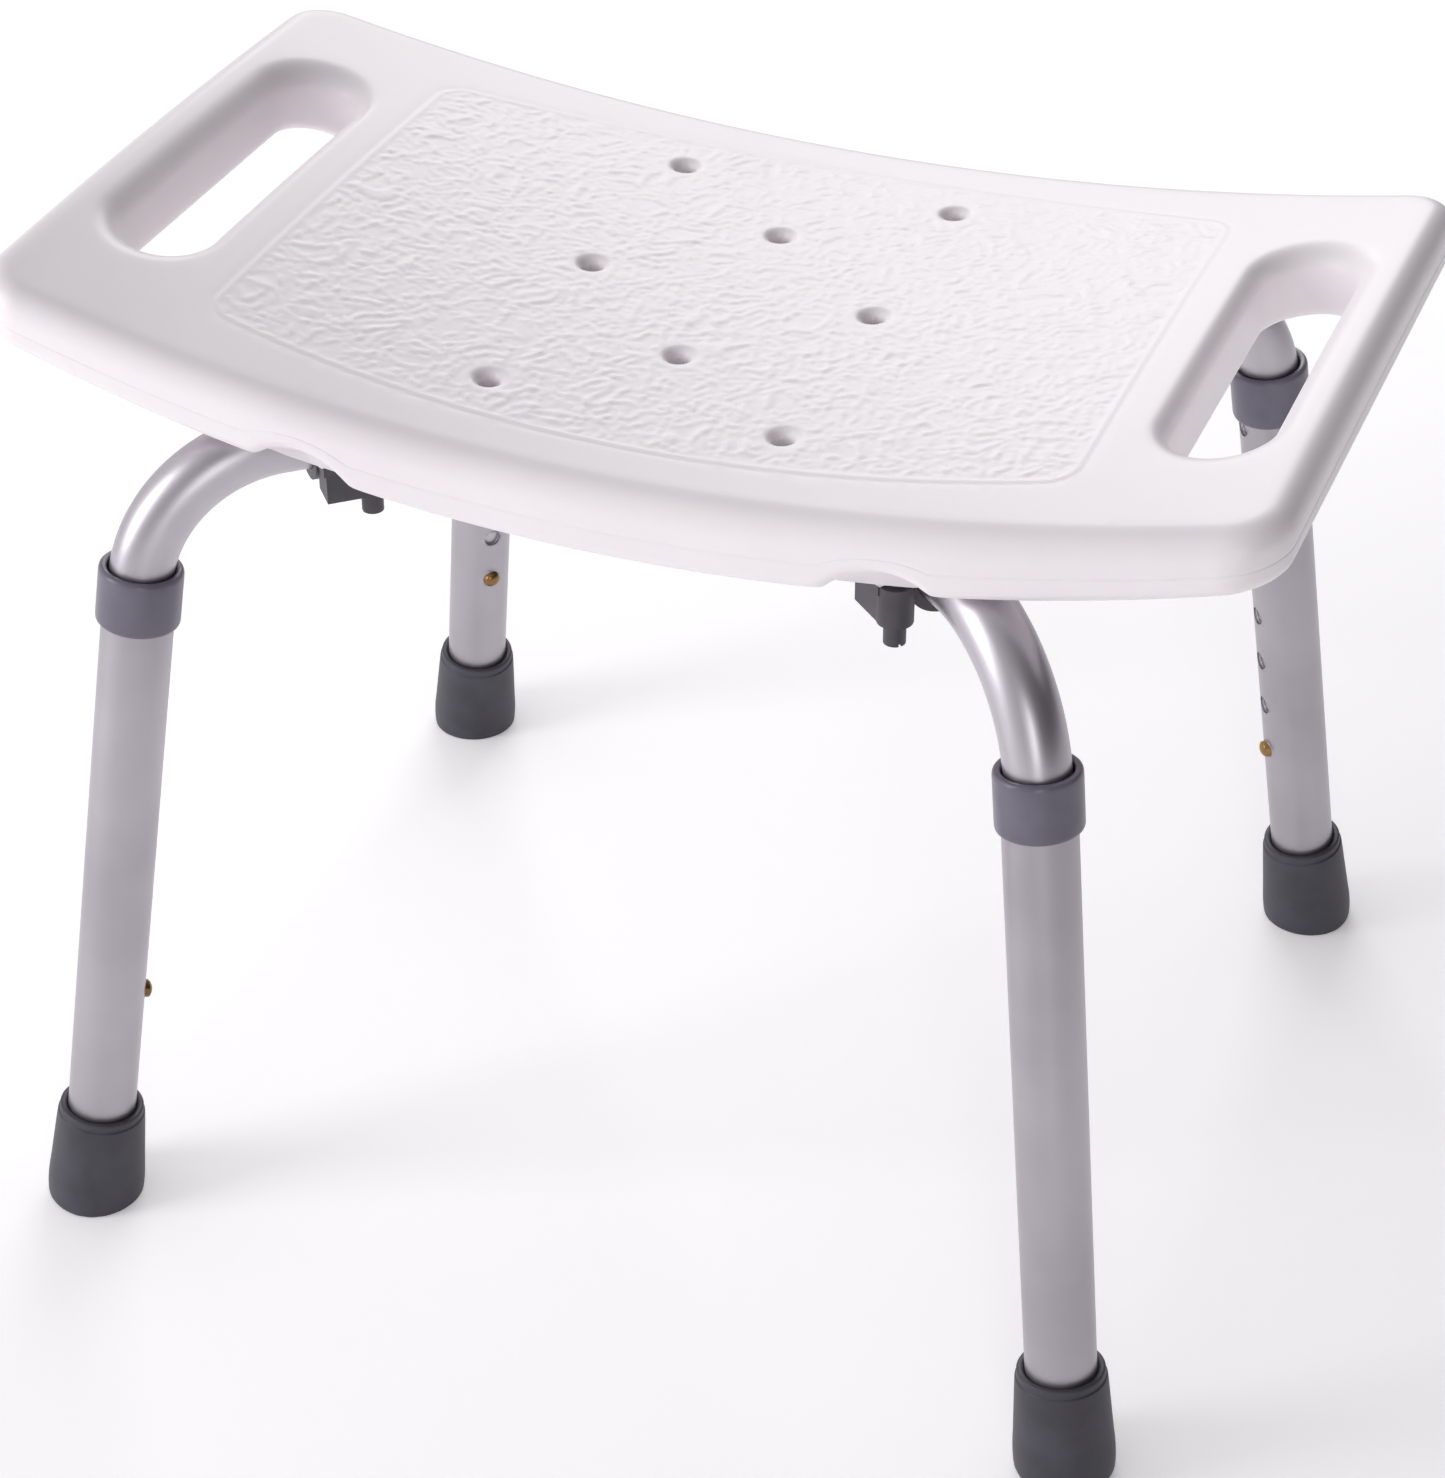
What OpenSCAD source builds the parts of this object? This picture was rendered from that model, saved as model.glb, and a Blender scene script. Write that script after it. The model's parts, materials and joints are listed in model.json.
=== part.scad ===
// Shower stool with a saddle-shaped blown seat on two crossed, height-adjustable tube frames.
// Millimetres, +X along the seat, +Z up. The origin is on the floor below the middle of the seat.

/* [Seat] */
// Overall length of the seat along X
seat_length = 520; // [500:1:540]
// Depth of the seat at its middle, front to back
seat_depth = 306; // [300:1:316]
// How much each long edge is pulled in at the seat's ends
edge_bow = 9; // [6:0.5:11]
// Height of the top surface at the middle, with the legs at their shortest
seat_height = 384; // [380:1:392]
// Thickness of the seat at its middle
seat_thickness = 34; // [32:0.5:36]
// Radius of the saddle curve of the top surface
top_curve_radius = 1086; // [1060:1:1120]
// Radius of the saddle curve of the underside
under_curve_radius = 900; // [880:1:940]
// Wall thickness of the blown shell
seat_wall = 3; // [2.5:0.1:3.2]
// Corner radius of the seat in plan
plan_corner = 24; // [18:1:30]
// Rounding of the upper edges
top_round = 10; // [7:0.5:11]
// Rounding of the lower edges
under_round = 6; // [4:0.5:7]

/* [Handle slots] */
// Distance of each handle slot from the middle of the seat
slot_x = 217; // [214:0.5:219]
// Width of each handle slot
slot_width = 38; // [34:0.5:40]
// Length of each handle slot
slot_length = 162; // [150:1:168]
// Depth of the sloped lead-in round the top of each slot
slot_lead_in = 6; // [3:0.5:7]

/* [Drain holes and grip panel] */
// Diameter of a drain hole
drain_diameter = 8; // [6:0.5:9]
// Diameter of the dished mouth of a drain hole
drain_mouth = 15; // [12:0.5:17]
// Distance of the two outer rows of drain holes from the middle
drain_column_x = 60; // [56:0.5:64]
// Distance of the outer drain holes from the middle, front to back
drain_outer_y = 98; // [92:0.5:100]
// Distance of the two centre drain holes from the middle
drain_inner_y = 54; // [50:0.5:56]
// Half length of the grip panel
panel_half_length = 175; // [168:1:178]
// Half depth of the grip panel at its middle
panel_half_depth = 124; // [118:1:126]
// How much the long edges of the grip panel are pulled in at its corners
panel_bow = 15; // [10:0.5:18]

/* [Frame] */
// Angle of the crossed frames from the seat's length
frame_angle = 41.3; // [40.5:0.1:42]
// Splay of each leg from upright
leg_splay = 9.12; // [8.8:0.01:9.4]
// Distance of a leg's axis from the middle, at floor level
leg_reach = 292.7; // [290:0.1:295]
// Outside diameter of the frame tube
frame_od = 25.4; // [25.2:0.1:25.4]
// Wall thickness of the frame tube
frame_wall = 1.4; // [1.2:0.1:1.6]
// Height of the frame tube's axis under the seat
rail_height = 352.5; // [351:0.5:353.5]
// Bend radius of the frame tube, on its axis
bend_radius = 60; // [56:1:62]
// How far the second frame drops to pass below the first
cross_drop = 27; // [26.6:0.1:30]

/* [Legs] */
// Outside diameter of a lower leg tube
leg_od = 28.6; // [28.4:0.1:29]
// Radial running clearance between the leg tube and the frame tube
leg_fit = 0.08; // [0.05:0.01:0.1]
// Spacing of the height holes
hole_pitch = 25.4; // [25:0.1:25.4]
// Number of height holes in a leg tube
hole_count = 8; // [7:1:8]
// Distance of the lowest height hole from the floor, along the leg
first_hole = 105.5; // [104:0.5:105.5]
// Height of a rubber foot, along the leg
foot_height = 47; // [44:0.5:49]
// Largest diameter of a rubber foot
foot_diameter = 41; // [39:0.5:43]
// Outside diameter of a collar
collar_od = 33.4; // [33:0.1:35]
// Height of a collar
collar_height = 24; // [22:0.5:24.2]

/* [Hidden] */

$fn = 96;
eps = 0.01;

// Plan angle of each leg, counted from +X
front_right = -frame_angle;
front_left = 180 + frame_angle;
back_left = 180 - frame_angle;
back_right = frame_angle;
legs = [front_right, front_left, back_left, back_right];

// Seat curves
half_l = seat_length / 2;
half_d = seat_depth / 2;
bow_radius = (pow(half_l, 2) + pow(edge_bow, 2)) / (2 * edge_bow);
panel_radius = (pow(panel_half_length, 2) + pow(panel_bow, 2)) / (2 * panel_bow);
top_centre = seat_height + top_curve_radius;
under_z = seat_height - seat_thickness;
under_centre = under_z + under_curve_radius;
mid_z = seat_height - seat_thickness / 2;
end_trim = 0.2;
tall = 200;
drains = [
    for (x = [-1, 1], y = [-1, 0, 1]) [x * drain_column_x, y * drain_outer_y],
    for (y = [-1, 1]) [0, y * drain_inner_y]
];
slot_tilt = asin(slot_x / top_curve_radius);
notch_x = 115;
notch_radius = 27;
notch_rise = 9;
notch_wall = 10;
groove_width = 1.4;
groove_depth = 0.6;
blow_hole_y = 112;
blow_hole_d = 5;

// Frame lines, in the upright plane that holds a pair of legs
frame_r = frame_od / 2;
frame_bore = frame_r - frame_wall;
bend_sweep = 90 - leg_splay;
bend_reach = bend_radius * tan(bend_sweep / 2);
knee_s = rail_height / cos(leg_splay);
knee_r = leg_reach - knee_s * sin(leg_splay);
bend_r = knee_r - bend_reach;
tube_end = first_hole - 21;
dip_radius = 60;
dip_sweep = 29.14;
over_sweep = 5;
dip_flat = 12;
dip_slope = (cross_drop - 2 * dip_radius * (1 - cos(dip_sweep))) / sin(dip_sweep);
dip_reach = dip_flat + 2 * dip_radius * sin(dip_sweep) + dip_slope * cos(dip_sweep);
channel_gap = 0.4;
channel_r = frame_r + channel_gap;
channel_end = 204;

// Clamps that hold the frame up against the seat
clamp_r = 165;
clamp_length = 20;
clamp_bore = frame_r + 0.25;
clamp_outer = clamp_bore + 4.2;
clamp_flange = 4;
clamp_top = 1.2;
clamp_half_width = 29;
pin_offset = 21.5;
pin_shift = 10;
boss_start = -9;
pin_d = 8;
pin_hole_d = 8.6;
pin_bar = [13.4, 5, 3];
pin_bar_z = 6.6;
pin_peg_d = 8.6;
pin_peg_z = -24.5;
boss_d = 14;
boss_width = 13;
boss_bottom = -15.2;
pad_z = 1.3;
pad_reach = 19;
pocket_d = 15.8;
pocket_z = 6;
pocket_height = 5;
pocket_slot = [15.4, 6.4];
tongue = [8, 4, 6];
tongue_y = 21;

// Cross joint at the middle
bolt_d = 6;
bolt_hole_d = 6.4;
bolt_head_d = 12;
bolt_head_h = 3.4;
washer_gap = 0.1;
head_pocket_d = 16;
lower_rail = rail_height - cross_drop;
saddle_d = 22;
nut_d = 11.5;
nut_h = 6;

// Leg lines, along a leg's axis
leg_bore = frame_r + leg_fit;
leg_r = leg_od / 2;
collar_base = 287.6;
collar_lip = 8;
collar_lip_r = frame_r + 0.7;
leg_top = collar_base + collar_height - collar_lip - 0.2;
leg_base = 6.2;
hole_d = 8.2;
foot_mouth = 17.8;
foot_floor = 4.6;
foot_sink = -3;
press = 0.1;
washer_r = 13.6;
washer_h = 1.5;
button_d = 7.6;
button_tip = leg_r + 3.3;
button_flange_r = 4.6;
button_flange_x = [9.65, 10.2];
spring_width = 9;
spring_thickness = 0.7;
spring_arm_x = 9.6;
spring_base = first_hole - 11;
spring_turn = first_hole + 26;

seat_white = [0.95, 0.94, 0.95];
tube_silver = [0.80, 0.78, 0.82];
collar_grey = [0.44, 0.43, 0.50];
rubber_grey = [0.26, 0.26, 0.30];
clamp_grey = [0.28, 0.27, 0.29];
brass = [0.66, 0.52, 0.30];
steel = [0.72, 0.72, 0.74];

// ---------- placing helpers ----------

// Upright plane of a leg: +X points out along the leg's plan angle.
module in_plane(angle) {
    rotate([0, 0, angle]) children();
}

// Axis of a leg: +Z runs up the leg from the floor, -X faces the middle of the stool.
module on_leg(angle) {
    in_plane(angle)
        translate([leg_reach, 0, 0])
            rotate([0, -leg_splay, 0]) children();
}

// Clamp seat: X runs along the tube, +Z is up, and the origin is on the tube's axis.
// All four clamps are the same moulding. On the dipped tube it is turned half round, so that its
// pin too is on the side that faces the stool's long edge.
module at_clamp(angle) {
    turned = sin(angle) * cos(angle) > 0;
    in_plane(angle)
        translate([clamp_r, 0, rail_height])
            rotate([0, 0, turned ? 180 : 0]) children();
}

// ---------- seat outlines ----------

// Plan of the seat drawn in by inset, with bowed long edges and round corners.
module seat_plan(inset) {
    l = half_l - inset;
    d = half_d - inset;
    rb = bow_radius - inset;
    rc = plan_corner - inset;
    xc = half_l - plan_corner;
    yc = sqrt(pow(rb - rc, 2) - pow(xc, 2)) - (rb - d);
    xt = xc * rb / (rb - rc);
    intersection() {
        square([2 * xt, 2 * d], center = true);
        translate([0, d - rb]) circle(r = rb, $fn = 720);
        translate([0, rb - d]) circle(r = rb, $fn = 720);
    }
    square([2 * l, 2 * yc], center = true);
    for (x = [-1, 1], y = [-1, 1])
        translate([x * xc, y * yc]) circle(r = rc);
}

// Side outline of the seat drawn in by inset: saddle curves above and below, round ends.
// It stands end_trim past the plan outline, which cuts it to length.
module seat_side(inset) {
    l = half_l + end_trim - inset;
    rt = top_curve_radius + inset;
    ru = under_curve_radius - inset;
    a = top_round - inset / 2;
    b = under_round - inset / 2;
    za = top_centre - sqrt(pow(rt + a, 2) - pow(l - a, 2));
    zb = under_centre - sqrt(pow(ru - b, 2) - pow(l - b, 2));
    difference() {
        intersection() {
            translate([0, under_centre]) circle(r = ru, $fn = 720);
            union() {
                translate([0, mid_z]) square([2 * (l - a), tall], center = true);
                translate([-l, zb]) square([2 * l, za - zb]);
                for (x = [-1, 1]) {
                    translate([x * (l - a), za]) circle(r = a);
                    translate([x * (l - b), zb]) circle(r = b);
                }
                translate([a - l, zb - b]) square([2 * (l - a), b + eps]);
            }
        }
        translate([0, top_centre]) circle(r = rt, $fn = 720);
        for (x = [0, 1])
            mirror([x, 0])
                translate([l - b, zb - b - tall]) square([tall, tall + b - eps]);
    }
    for (x = [-1, 1])
        translate([x * (l - b), zb]) circle(r = b);
}

// Block whose upper long edges are rounded along the top saddle curve.
module upper_roll(inset) {
    rt = top_curve_radius + inset;
    d = half_d - inset;
    a = top_round - inset / 2;
    translate([0, 0, top_centre])
        rotate([90, 0, 0])
            rotate_extrude($fn = 720) {
                translate([rt, a - d]) square([90, 2 * (d - a)]);
                translate([rt + a, -d]) square([90, 2 * d]);
                for (y = [-1, 1])
                    translate([rt + a, y * (d - a)]) circle(r = a);
            }
}

// Block whose lower long edges are rounded along the underside's saddle curve.
module lower_roll(inset) {
    ru = under_curve_radius - inset;
    d = half_d - inset;
    b = under_round - inset / 2;
    translate([0, 0, under_centre])
        rotate([90, 0, 0])
            rotate_extrude($fn = 720) {
                translate([ru - 90, b - d]) square([90, 2 * (d - b)]);
                translate([ru - b - 90, -d]) square([90, 2 * d]);
                for (y = [-1, 1])
                    translate([ru - b, y * (d - b)]) circle(r = b);
            }
}

// Solid block of the seat with every face drawn in by inset.
module seat_core(inset) {
    intersection() {
        translate([0, 0, under_z - 20]) linear_extrude(110) seat_plan(inset);
        rotate([90, 0, 0]) linear_extrude(seat_depth + 20, center = true) seat_side(inset);
        upper_roll(inset);
        lower_roll(inset);
    }
}

// Long round-ended hole through the seat, grown by grow.
module handle_slot(grow) {
    r = slot_width / 2 + grow;
    y = slot_length / 2 - slot_width / 2;
    for (s = [-1, 1]) {
        translate([slot_x, s * y, under_z - 20]) cylinder(r = r, h = 110);
        translate([slot_x, 0, seat_height + slot_x * slot_x / 2 / top_curve_radius])
            rotate([0, -slot_tilt, 0])
                translate([0, s * y, -slot_lead_in - grow])
                    cylinder(r1 = r, r2 = r + 2 * slot_lead_in, h = 2 * slot_lead_in);
    }
    translate([slot_x - r, -y, under_z - 20]) cube([2 * r, 2 * y, 110]);
    translate([slot_x, 0, seat_height + slot_x * slot_x / 2 / top_curve_radius])
        rotate([0, -slot_tilt, 0])
            rotate([90, 0, 0])
                translate([0, 0, -y])
                    linear_extrude(2 * y)
                        polygon([
                            [-r, -slot_lead_in - grow],
                            [r, -slot_lead_in - grow],
                            [r + 2 * slot_lead_in, slot_lead_in - grow],
                            [-r - 2 * slot_lead_in, slot_lead_in - grow]
                        ]);
}

// Drain hole with a dished mouth, grown by grow.
module drain(x, y, grow) {
    z = seat_height + x * x / 2 / top_curve_radius;
    dish = (drain_mouth - drain_diameter) / 2;
    translate([x, y, under_z - 20]) cylinder(d = drain_diameter + 2 * grow, h = 90);
    translate([x, y, z - dish - grow])
        cylinder(d1 = drain_diameter + 2 * grow, d2 = drain_mouth + 2 * grow + 2 * dish, h = 2 * dish);
}

// Open channel in the underside for one leg end of a frame tube, grown by grow.
module rail_channel(grow) {
    r = channel_r + grow;
    translate([0, 0, rail_height])
        rotate([0, 90, 0]) cylinder(r = r, h = channel_end + grow);
    translate([0, -r, rail_height - 60]) cube([channel_end + grow, 2 * r, 60]);
}

// Socket in the underside for a clamp's pin and tongue, grown by grow.
module clamp_socket(grow) {
    translate([pin_shift, -pin_offset, 0]) {
        translate([0, 0, pocket_z - grow])
            cylinder(d = pocket_d + 2 * grow, h = pocket_height + 2 * grow);
        translate([0, 0, -40]) cylinder(d = pin_hole_d + 2 * grow, h = 40 + pocket_z + 1);
        translate([-pocket_slot[1] / 2 - grow, -pocket_slot[0] / 2 - grow, -40])
            cube([pocket_slot[1] + 2 * grow, pocket_slot[0] + 2 * grow, 41 + pocket_z]);
    }
    translate([-tongue[0] / 2 - 0.3 - grow, tongue_y - tongue[1] / 2 - 0.3 - grow, -40])
        cube([tongue[0] + 0.6 + 2 * grow, tongue[1] + 0.6 + 2 * grow, 40.6 + clamp_top + tongue[2] + grow]);
}

// Everything cut from the seat, with each cut grown by grow.
module seat_cuts(grow) {
    for (m = [0, 1]) mirror([m, 0, 0]) handle_slot(grow);
    for (p = drains) drain(p[0], p[1], grow);
    for (a = legs) {
        in_plane(a) rail_channel(grow);
        at_clamp(a) clamp_socket(grow);
    }
    translate([0, 0, rail_height])
        cylinder(d = head_pocket_d + 2 * grow, h = frame_r + bolt_head_h + 1.6 + grow);
    for (x = [-1, 1])
        translate([x * notch_x, 0, under_z - notch_radius + notch_rise + notch_x * notch_x / 2 / under_curve_radius])
            for (y = [-1, 1])
                translate([0, y * (half_d + 1 - notch_wall / 2), 0])
                    rotate([90, 0, 0])
                        cylinder(r = notch_radius + grow, h = notch_wall + 2 + 2 * grow, center = true);
}

// Flat pads under the seat that the clamps bear on.
module clamp_pads() {
    for (a = legs)
        at_clamp(a)
            translate([-clamp_length / 2 - 2, -clamp_half_width - 1, pad_z])
                cube([clamp_length / 2 + 2 + pad_reach, 2 * clamp_half_width + 2, 10]);
}

// Shallow line round the grip panel.
module panel_groove() {
    difference() {
        translate([0, 0, mid_z]) linear_extrude(80) difference() {
            panel_plan(0);
            panel_plan(groove_width);
        }
        rotate([90, 0, 0])
            translate([0, top_centre, 0])
                difference() {
                    cylinder(r = top_curve_radius + 120, h = seat_depth, center = true, $fn = 720);
                    cylinder(r = top_curve_radius + groove_depth, h = seat_depth + 2, center = true, $fn = 720);
                }
    }
}

// Plan of the grip panel drawn in by inset.
module panel_plan(inset) {
    d = panel_half_depth - inset;
    r = panel_radius - inset;
    intersection() {
        square([2 * (panel_half_length - inset), 2 * d], center = true);
        translate([0, d - r]) circle(r = r, $fn = 360);
        translate([0, r - d]) circle(r = r, $fn = 360);
    }
}

// ---------- tube lines ----------

// Straight rod along +X, of radius r.
module rod(r, length) {
    rotate([0, 90, 0]) cylinder(r = r, h = length);
}

// Arc of radius c from the origin, then a straight run: it heads along +Y and turns to -X.
// The arc is swept too far and cut back square to the run, so that their ends match.
module arc_run(c, sweep, r, run) {
    translate([-c, 0, 0]) {
        difference() {
            rotate_extrude(angle = sweep + over_sweep) translate([c, 0]) circle(r = r);
            rotate([0, 0, sweep])
                translate([c - 2 * r, 0, -2 * r]) cube(4 * r);
        }
        rotate([0, 0, sweep])
            translate([c, 0, 0]) {
                rotate([-90, 0, 0]) cylinder(r = r, h = run);
                translate([0, run, 0]) children();
            }
    }
}

// Half of a frame tube, solid, of radius r, from the leg's end to the middle of the stool.
// Each length starts where the one before it ends.
module half_line(r, dipped, extra) {
    translate([bend_r, 0, rail_height - bend_radius])
        rotate([90, 0, 0])
            rotate([0, 0, leg_splay])
                translate([bend_radius, 0, 0]) {
                    rotate([90, 0, 0]) cylinder(r = r, h = knee_s - bend_reach - tube_end + extra);
                    if (dipped)
                        arc_run(bend_radius, bend_sweep, r, bend_r - dip_reach)
                            arc_run(dip_radius, dip_sweep, r, dip_slope)
                                rotate([0, 180, 0]) arc_run(dip_radius, dip_sweep, r, dip_flat + 1);
                    else
                        arc_run(bend_radius, bend_sweep, r, bend_r + 1);
                }
}

// Both halves of a frame tube; the second frame has a dip at its middle.
module frame_line(dipped) {
    for (turn = [0, 180])
        rotate([0, 0, turn])
            intersection() {
                difference() {
                    half_line(frame_r, dipped, 0);
                    half_line(frame_bore, dipped, 1);
                }
                translate([0, -100, 0]) cube([400, 200, 500]);
            }
}

// Holes for the cross bolt and the two snap buttons.
module frame_holes() {
    translate([0, 0, lower_rail - 40]) cylinder(d = bolt_hole_d, h = 120);
    for (m = [0, 1])
        mirror([m, 0, 0])
            translate([leg_reach, 0, 0])
                rotate([0, -leg_splay, 0])
                    translate([0, 0, first_hole])
                        rotate([0, -90, 0]) cylinder(d = hole_d, h = 30);
}

module frame_tube(angle, dipped) {
    color(tube_silver)
        in_plane(angle)
            difference() {
                frame_line(dipped);
                frame_holes();
            }
}

// ---------- parts ----------

module seat() {
    color(seat_white)
        difference() {
            union() {
                difference() {
                    seat_core(0);
                    difference() {
                        seat_core(seat_wall);
                        seat_cuts(seat_wall);
                    }
                }
                difference() {
                    clamp_pads();
                    translate([0, 0, under_centre])
                        rotate([90, 0, 0])
                            cylinder(r = under_curve_radius - seat_wall / 2, h = seat_depth + 2, center = true, $fn = 720);
                }
            }
            seat_cuts(0);
            panel_groove();
            translate([0, blow_hole_y, under_z - 10]) cylinder(d = blow_hole_d, h = 20);
        }
}

// Plastic saddle that spaces the two frame tubes where they cross.
module cross_saddle() {
    color(clamp_grey)
        difference() {
            translate([0, 0, lower_rail + 5]) cylinder(d = saddle_d, h = cross_drop - 10);
            in_plane(front_right)
                translate([-30, 0, rail_height]) rod(frame_r + press, 60);
            in_plane(front_left) translate([-30, 0, lower_rail]) rod(frame_r + press, 60);
            translate([0, 0, lower_rail]) cylinder(d = bolt_hole_d, h = cross_drop);
        }
}

// Bolt that ties the two frame tubes together.
module cross_bolt() {
    top = rail_height + frame_r + washer_gap;
    color(steel)
        difference() {
            union() {
                translate([0, 0, lower_rail - frame_r - nut_h - 1.5])
                    cylinder(d = bolt_d, h = cross_drop + 2 * frame_r + nut_h + 2);
                intersection() {
                    translate([0, 0, top]) cylinder(d = bolt_head_d, h = bolt_head_h);
                    translate([0, 0, top + bolt_head_h - 9.5]) sphere(r = 9.5);
                }
            }
            translate([0, 0, top + bolt_head_h - 2]) cylinder(d = 4.2, h = 3, $fn = 6);
        }
}

module cross_nut() {
    color(steel)
        translate([0, 0, lower_rail - frame_r - washer_gap - nut_h])
            difference() {
                cylinder(d = nut_d, h = nut_h, $fn = 6);
                translate([0, 0, -1]) cylinder(d = bolt_d + 0.1, h = nut_h + 2);
            }
}

// Saddle clamp that holds a frame tube up in its channel.
module tube_clamp(angle) {
    color(clamp_grey)
        at_clamp(angle)
            difference() {
                union() {
                    translate([-clamp_length / 2, 0, 0]) rod(clamp_outer, clamp_length);
                    translate([-clamp_length / 2, -clamp_half_width, clamp_top - clamp_flange])
                        cube([clamp_length, 2 * clamp_half_width, clamp_flange]);
                    translate([pin_shift, -pin_offset, boss_bottom])
                        cylinder(d = boss_d, h = clamp_top - boss_bottom);
                    translate([boss_start, -pin_offset - boss_width / 2, boss_bottom])
                        cube([pin_shift - boss_start, boss_width, clamp_top - boss_bottom]);
                    translate([-tongue[0] / 2, tongue_y - tongue[1] / 2, clamp_top - eps])
                        cube([tongue[0], tongue[1], tongue[2]]);
                }
                translate([-20, 0, 0]) rod(clamp_bore, 40);
                translate([-20, -clamp_bore, 0]) cube([40, 2 * clamp_bore, 40]);
                translate([-20, -clamp_outer - 1, clamp_top]) cube([40, clamp_outer + 18, 40]);
                translate([pin_shift, -pin_offset, boss_bottom - 1])
                    cylinder(d = pin_hole_d, h = 40);
            }
}

// Quarter-turn pin: a cross bar above, a round peg to turn it by below.
module clamp_pin(angle) {
    color(clamp_grey)
        at_clamp(angle)
            translate([pin_shift, -pin_offset, 0]) {
                translate([0, 0, boss_bottom - 0.4]) cylinder(d = pin_d, h = pin_bar_z - boss_bottom + 2);
                translate([-pin_bar[0] / 2, -pin_bar[1] / 2, pin_bar_z])
                    cube(pin_bar);
                difference() {
                    translate([0, 0, pin_peg_z]) cylinder(d = pin_peg_d, h = boss_bottom - 0.3 - pin_peg_z);
                    translate([-5, -0.6, pin_peg_z - 1]) cube([10, 1.2, 2.2]);
                }
            }
}

// Lower leg tube with its row of height holes on the side that faces the middle.
module leg_tube(angle) {
    color(tube_silver)
        on_leg(angle)
            difference() {
                translate([0, 0, leg_base]) cylinder(r = leg_r, h = leg_top - leg_base);
                translate([0, 0, leg_base - 1]) cylinder(r = leg_bore, h = leg_top - leg_base + 2);
                for (i = [0 : hole_count - 1])
                    translate([0, 0, first_hole + i * hole_pitch])
                        rotate([0, -90, 0]) cylinder(d = hole_d, h = 30);
            }
}

// Plastic collar on the top of a leg tube, with a lip round the frame tube.
module collar(angle) {
    r = collar_od / 2;
    e = 1.6;
    color(collar_grey)
        on_leg(angle)
            translate([0, 0, collar_base])
                difference() {
                    rotate_extrude() {
                        translate([0, e]) square([r, collar_height - 2 * e]);
                        square([r - e, collar_height]);
                        for (z = [e, collar_height - e])
                            translate([r - e, z]) circle(r = e, $fn = 48);
                    }
                    translate([0, 0, -1])
                        cylinder(r = leg_r + press, h = collar_height - collar_lip + 1);
                    translate([0, 0, -1]) cylinder(r = collar_lip_r, h = collar_height + 2);
                    translate([0, 0, collar_height - 1])
                        cylinder(r1 = collar_lip_r, r2 = collar_lip_r + 1.2, h = 1.2);
                }
}

// Rubber foot, flared to a wide tread and flat on the floor.
module foot(angle) {
    w = foot_diameter / 2;
    e = 4;
    color(rubber_grey)
        intersection() {
            on_leg(angle)
                difference() {
                    rotate_extrude()
                        difference() {
                            union() {
                                translate([0, foot_sink]) square([w - e, e + 2]);
                                translate([w - e, foot_sink + e]) circle(r = e, $fn = 64);
                                polygon([
                                    [0, foot_sink + e],
                                    [w, foot_sink + e],
                                    [w, 10],
                                    [w - 0.4, 15],
                                    [foot_mouth + 0.7, foot_height - 12],
                                    [foot_mouth - 0.1, foot_height - 5],
                                    [foot_mouth - 0.1, foot_height],
                                    [0, foot_height]
                                ]);
                            }
                            translate([foot_mouth - 1, foot_height - 1])
                                difference() {
                                    square(3);
                                    circle(r = 0.9, $fn = 48);
                                }
                        }
                    translate([0, 0, foot_floor]) cylinder(r = leg_r + press, h = foot_height);
                }
            cylinder(r = 500, h = 100);
        }
}

// Steel disc that keeps the leg tube from cutting through the rubber.
module foot_washer(angle) {
    color(steel)
        on_leg(angle)
            translate([0, 0, foot_floor + press])
                difference() {
                    cylinder(r = washer_r, h = washer_h - press);
                    translate([0, 0, -1]) cylinder(r = 5, h = washer_h + 2);
                }
}

// Domed snap button that locks a leg's height.
module snap_button(angle) {
    dome = 5.2;
    color(brass)
        on_leg(angle)
            translate([0, 0, first_hole])
                rotate([0, -90, 0]) {
                    intersection() {
                        translate([0, 0, button_flange_x[0]])
                            cylinder(d = button_d, h = button_tip - button_flange_x[0]);
                        translate([0, 0, button_tip - dome]) union() {
                            sphere(r = dome);
                            translate([0, 0, -20]) cylinder(r = dome, h = 20);
                        }
                    }
                    translate([0, 0, button_flange_x[0]])
                        cylinder(r = button_flange_r, h = button_flange_x[1] - button_flange_x[0]);
                }
}

// U-shaped strip spring inside the frame tube that pushes the button out.
module button_spring(angle) {
    o = spring_arm_x;
    i = spring_arm_x - spring_thickness;
    color(steel)
        on_leg(angle)
            rotate([90, 0, 0])
                translate([0, 0, -spring_width / 2])
                    linear_extrude(spring_width) {
                        for (x = [-o, i])
                            translate([x, spring_base])
                                square([spring_thickness, spring_turn - spring_base + eps]);
                        translate([0, spring_turn])
                            intersection() {
                                difference() {
                                    circle(r = o);
                                    circle(r = i);
                                }
                                translate([-20, 0]) square([40, 20]);
                            }
                    }
}

seat();
frame_tube(front_right, false);  // frame_tube_front_right
frame_tube(front_left, true);  // frame_tube_front_left
cross_saddle();
cross_bolt();
cross_nut();
tube_clamp(front_right);  // tube_clamp_front_right
tube_clamp(front_left);  // tube_clamp_front_left
tube_clamp(back_left);  // tube_clamp_back_left
tube_clamp(back_right);  // tube_clamp_back_right
clamp_pin(front_right);  // clamp_pin_front_right
clamp_pin(front_left);  // clamp_pin_front_left
clamp_pin(back_left);  // clamp_pin_back_left
clamp_pin(back_right);  // clamp_pin_back_right
leg_tube(front_right);  // leg_tube_front_right
leg_tube(front_left);  // leg_tube_front_left
leg_tube(back_left);  // leg_tube_back_left
leg_tube(back_right);  // leg_tube_back_right
collar(front_right);  // collar_front_right
collar(front_left);  // collar_front_left
collar(back_left);  // collar_back_left
collar(back_right);  // collar_back_right
foot(front_right);  // foot_front_right
foot(front_left);  // foot_front_left
foot(back_left);  // foot_back_left
foot(back_right);  // foot_back_right
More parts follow.
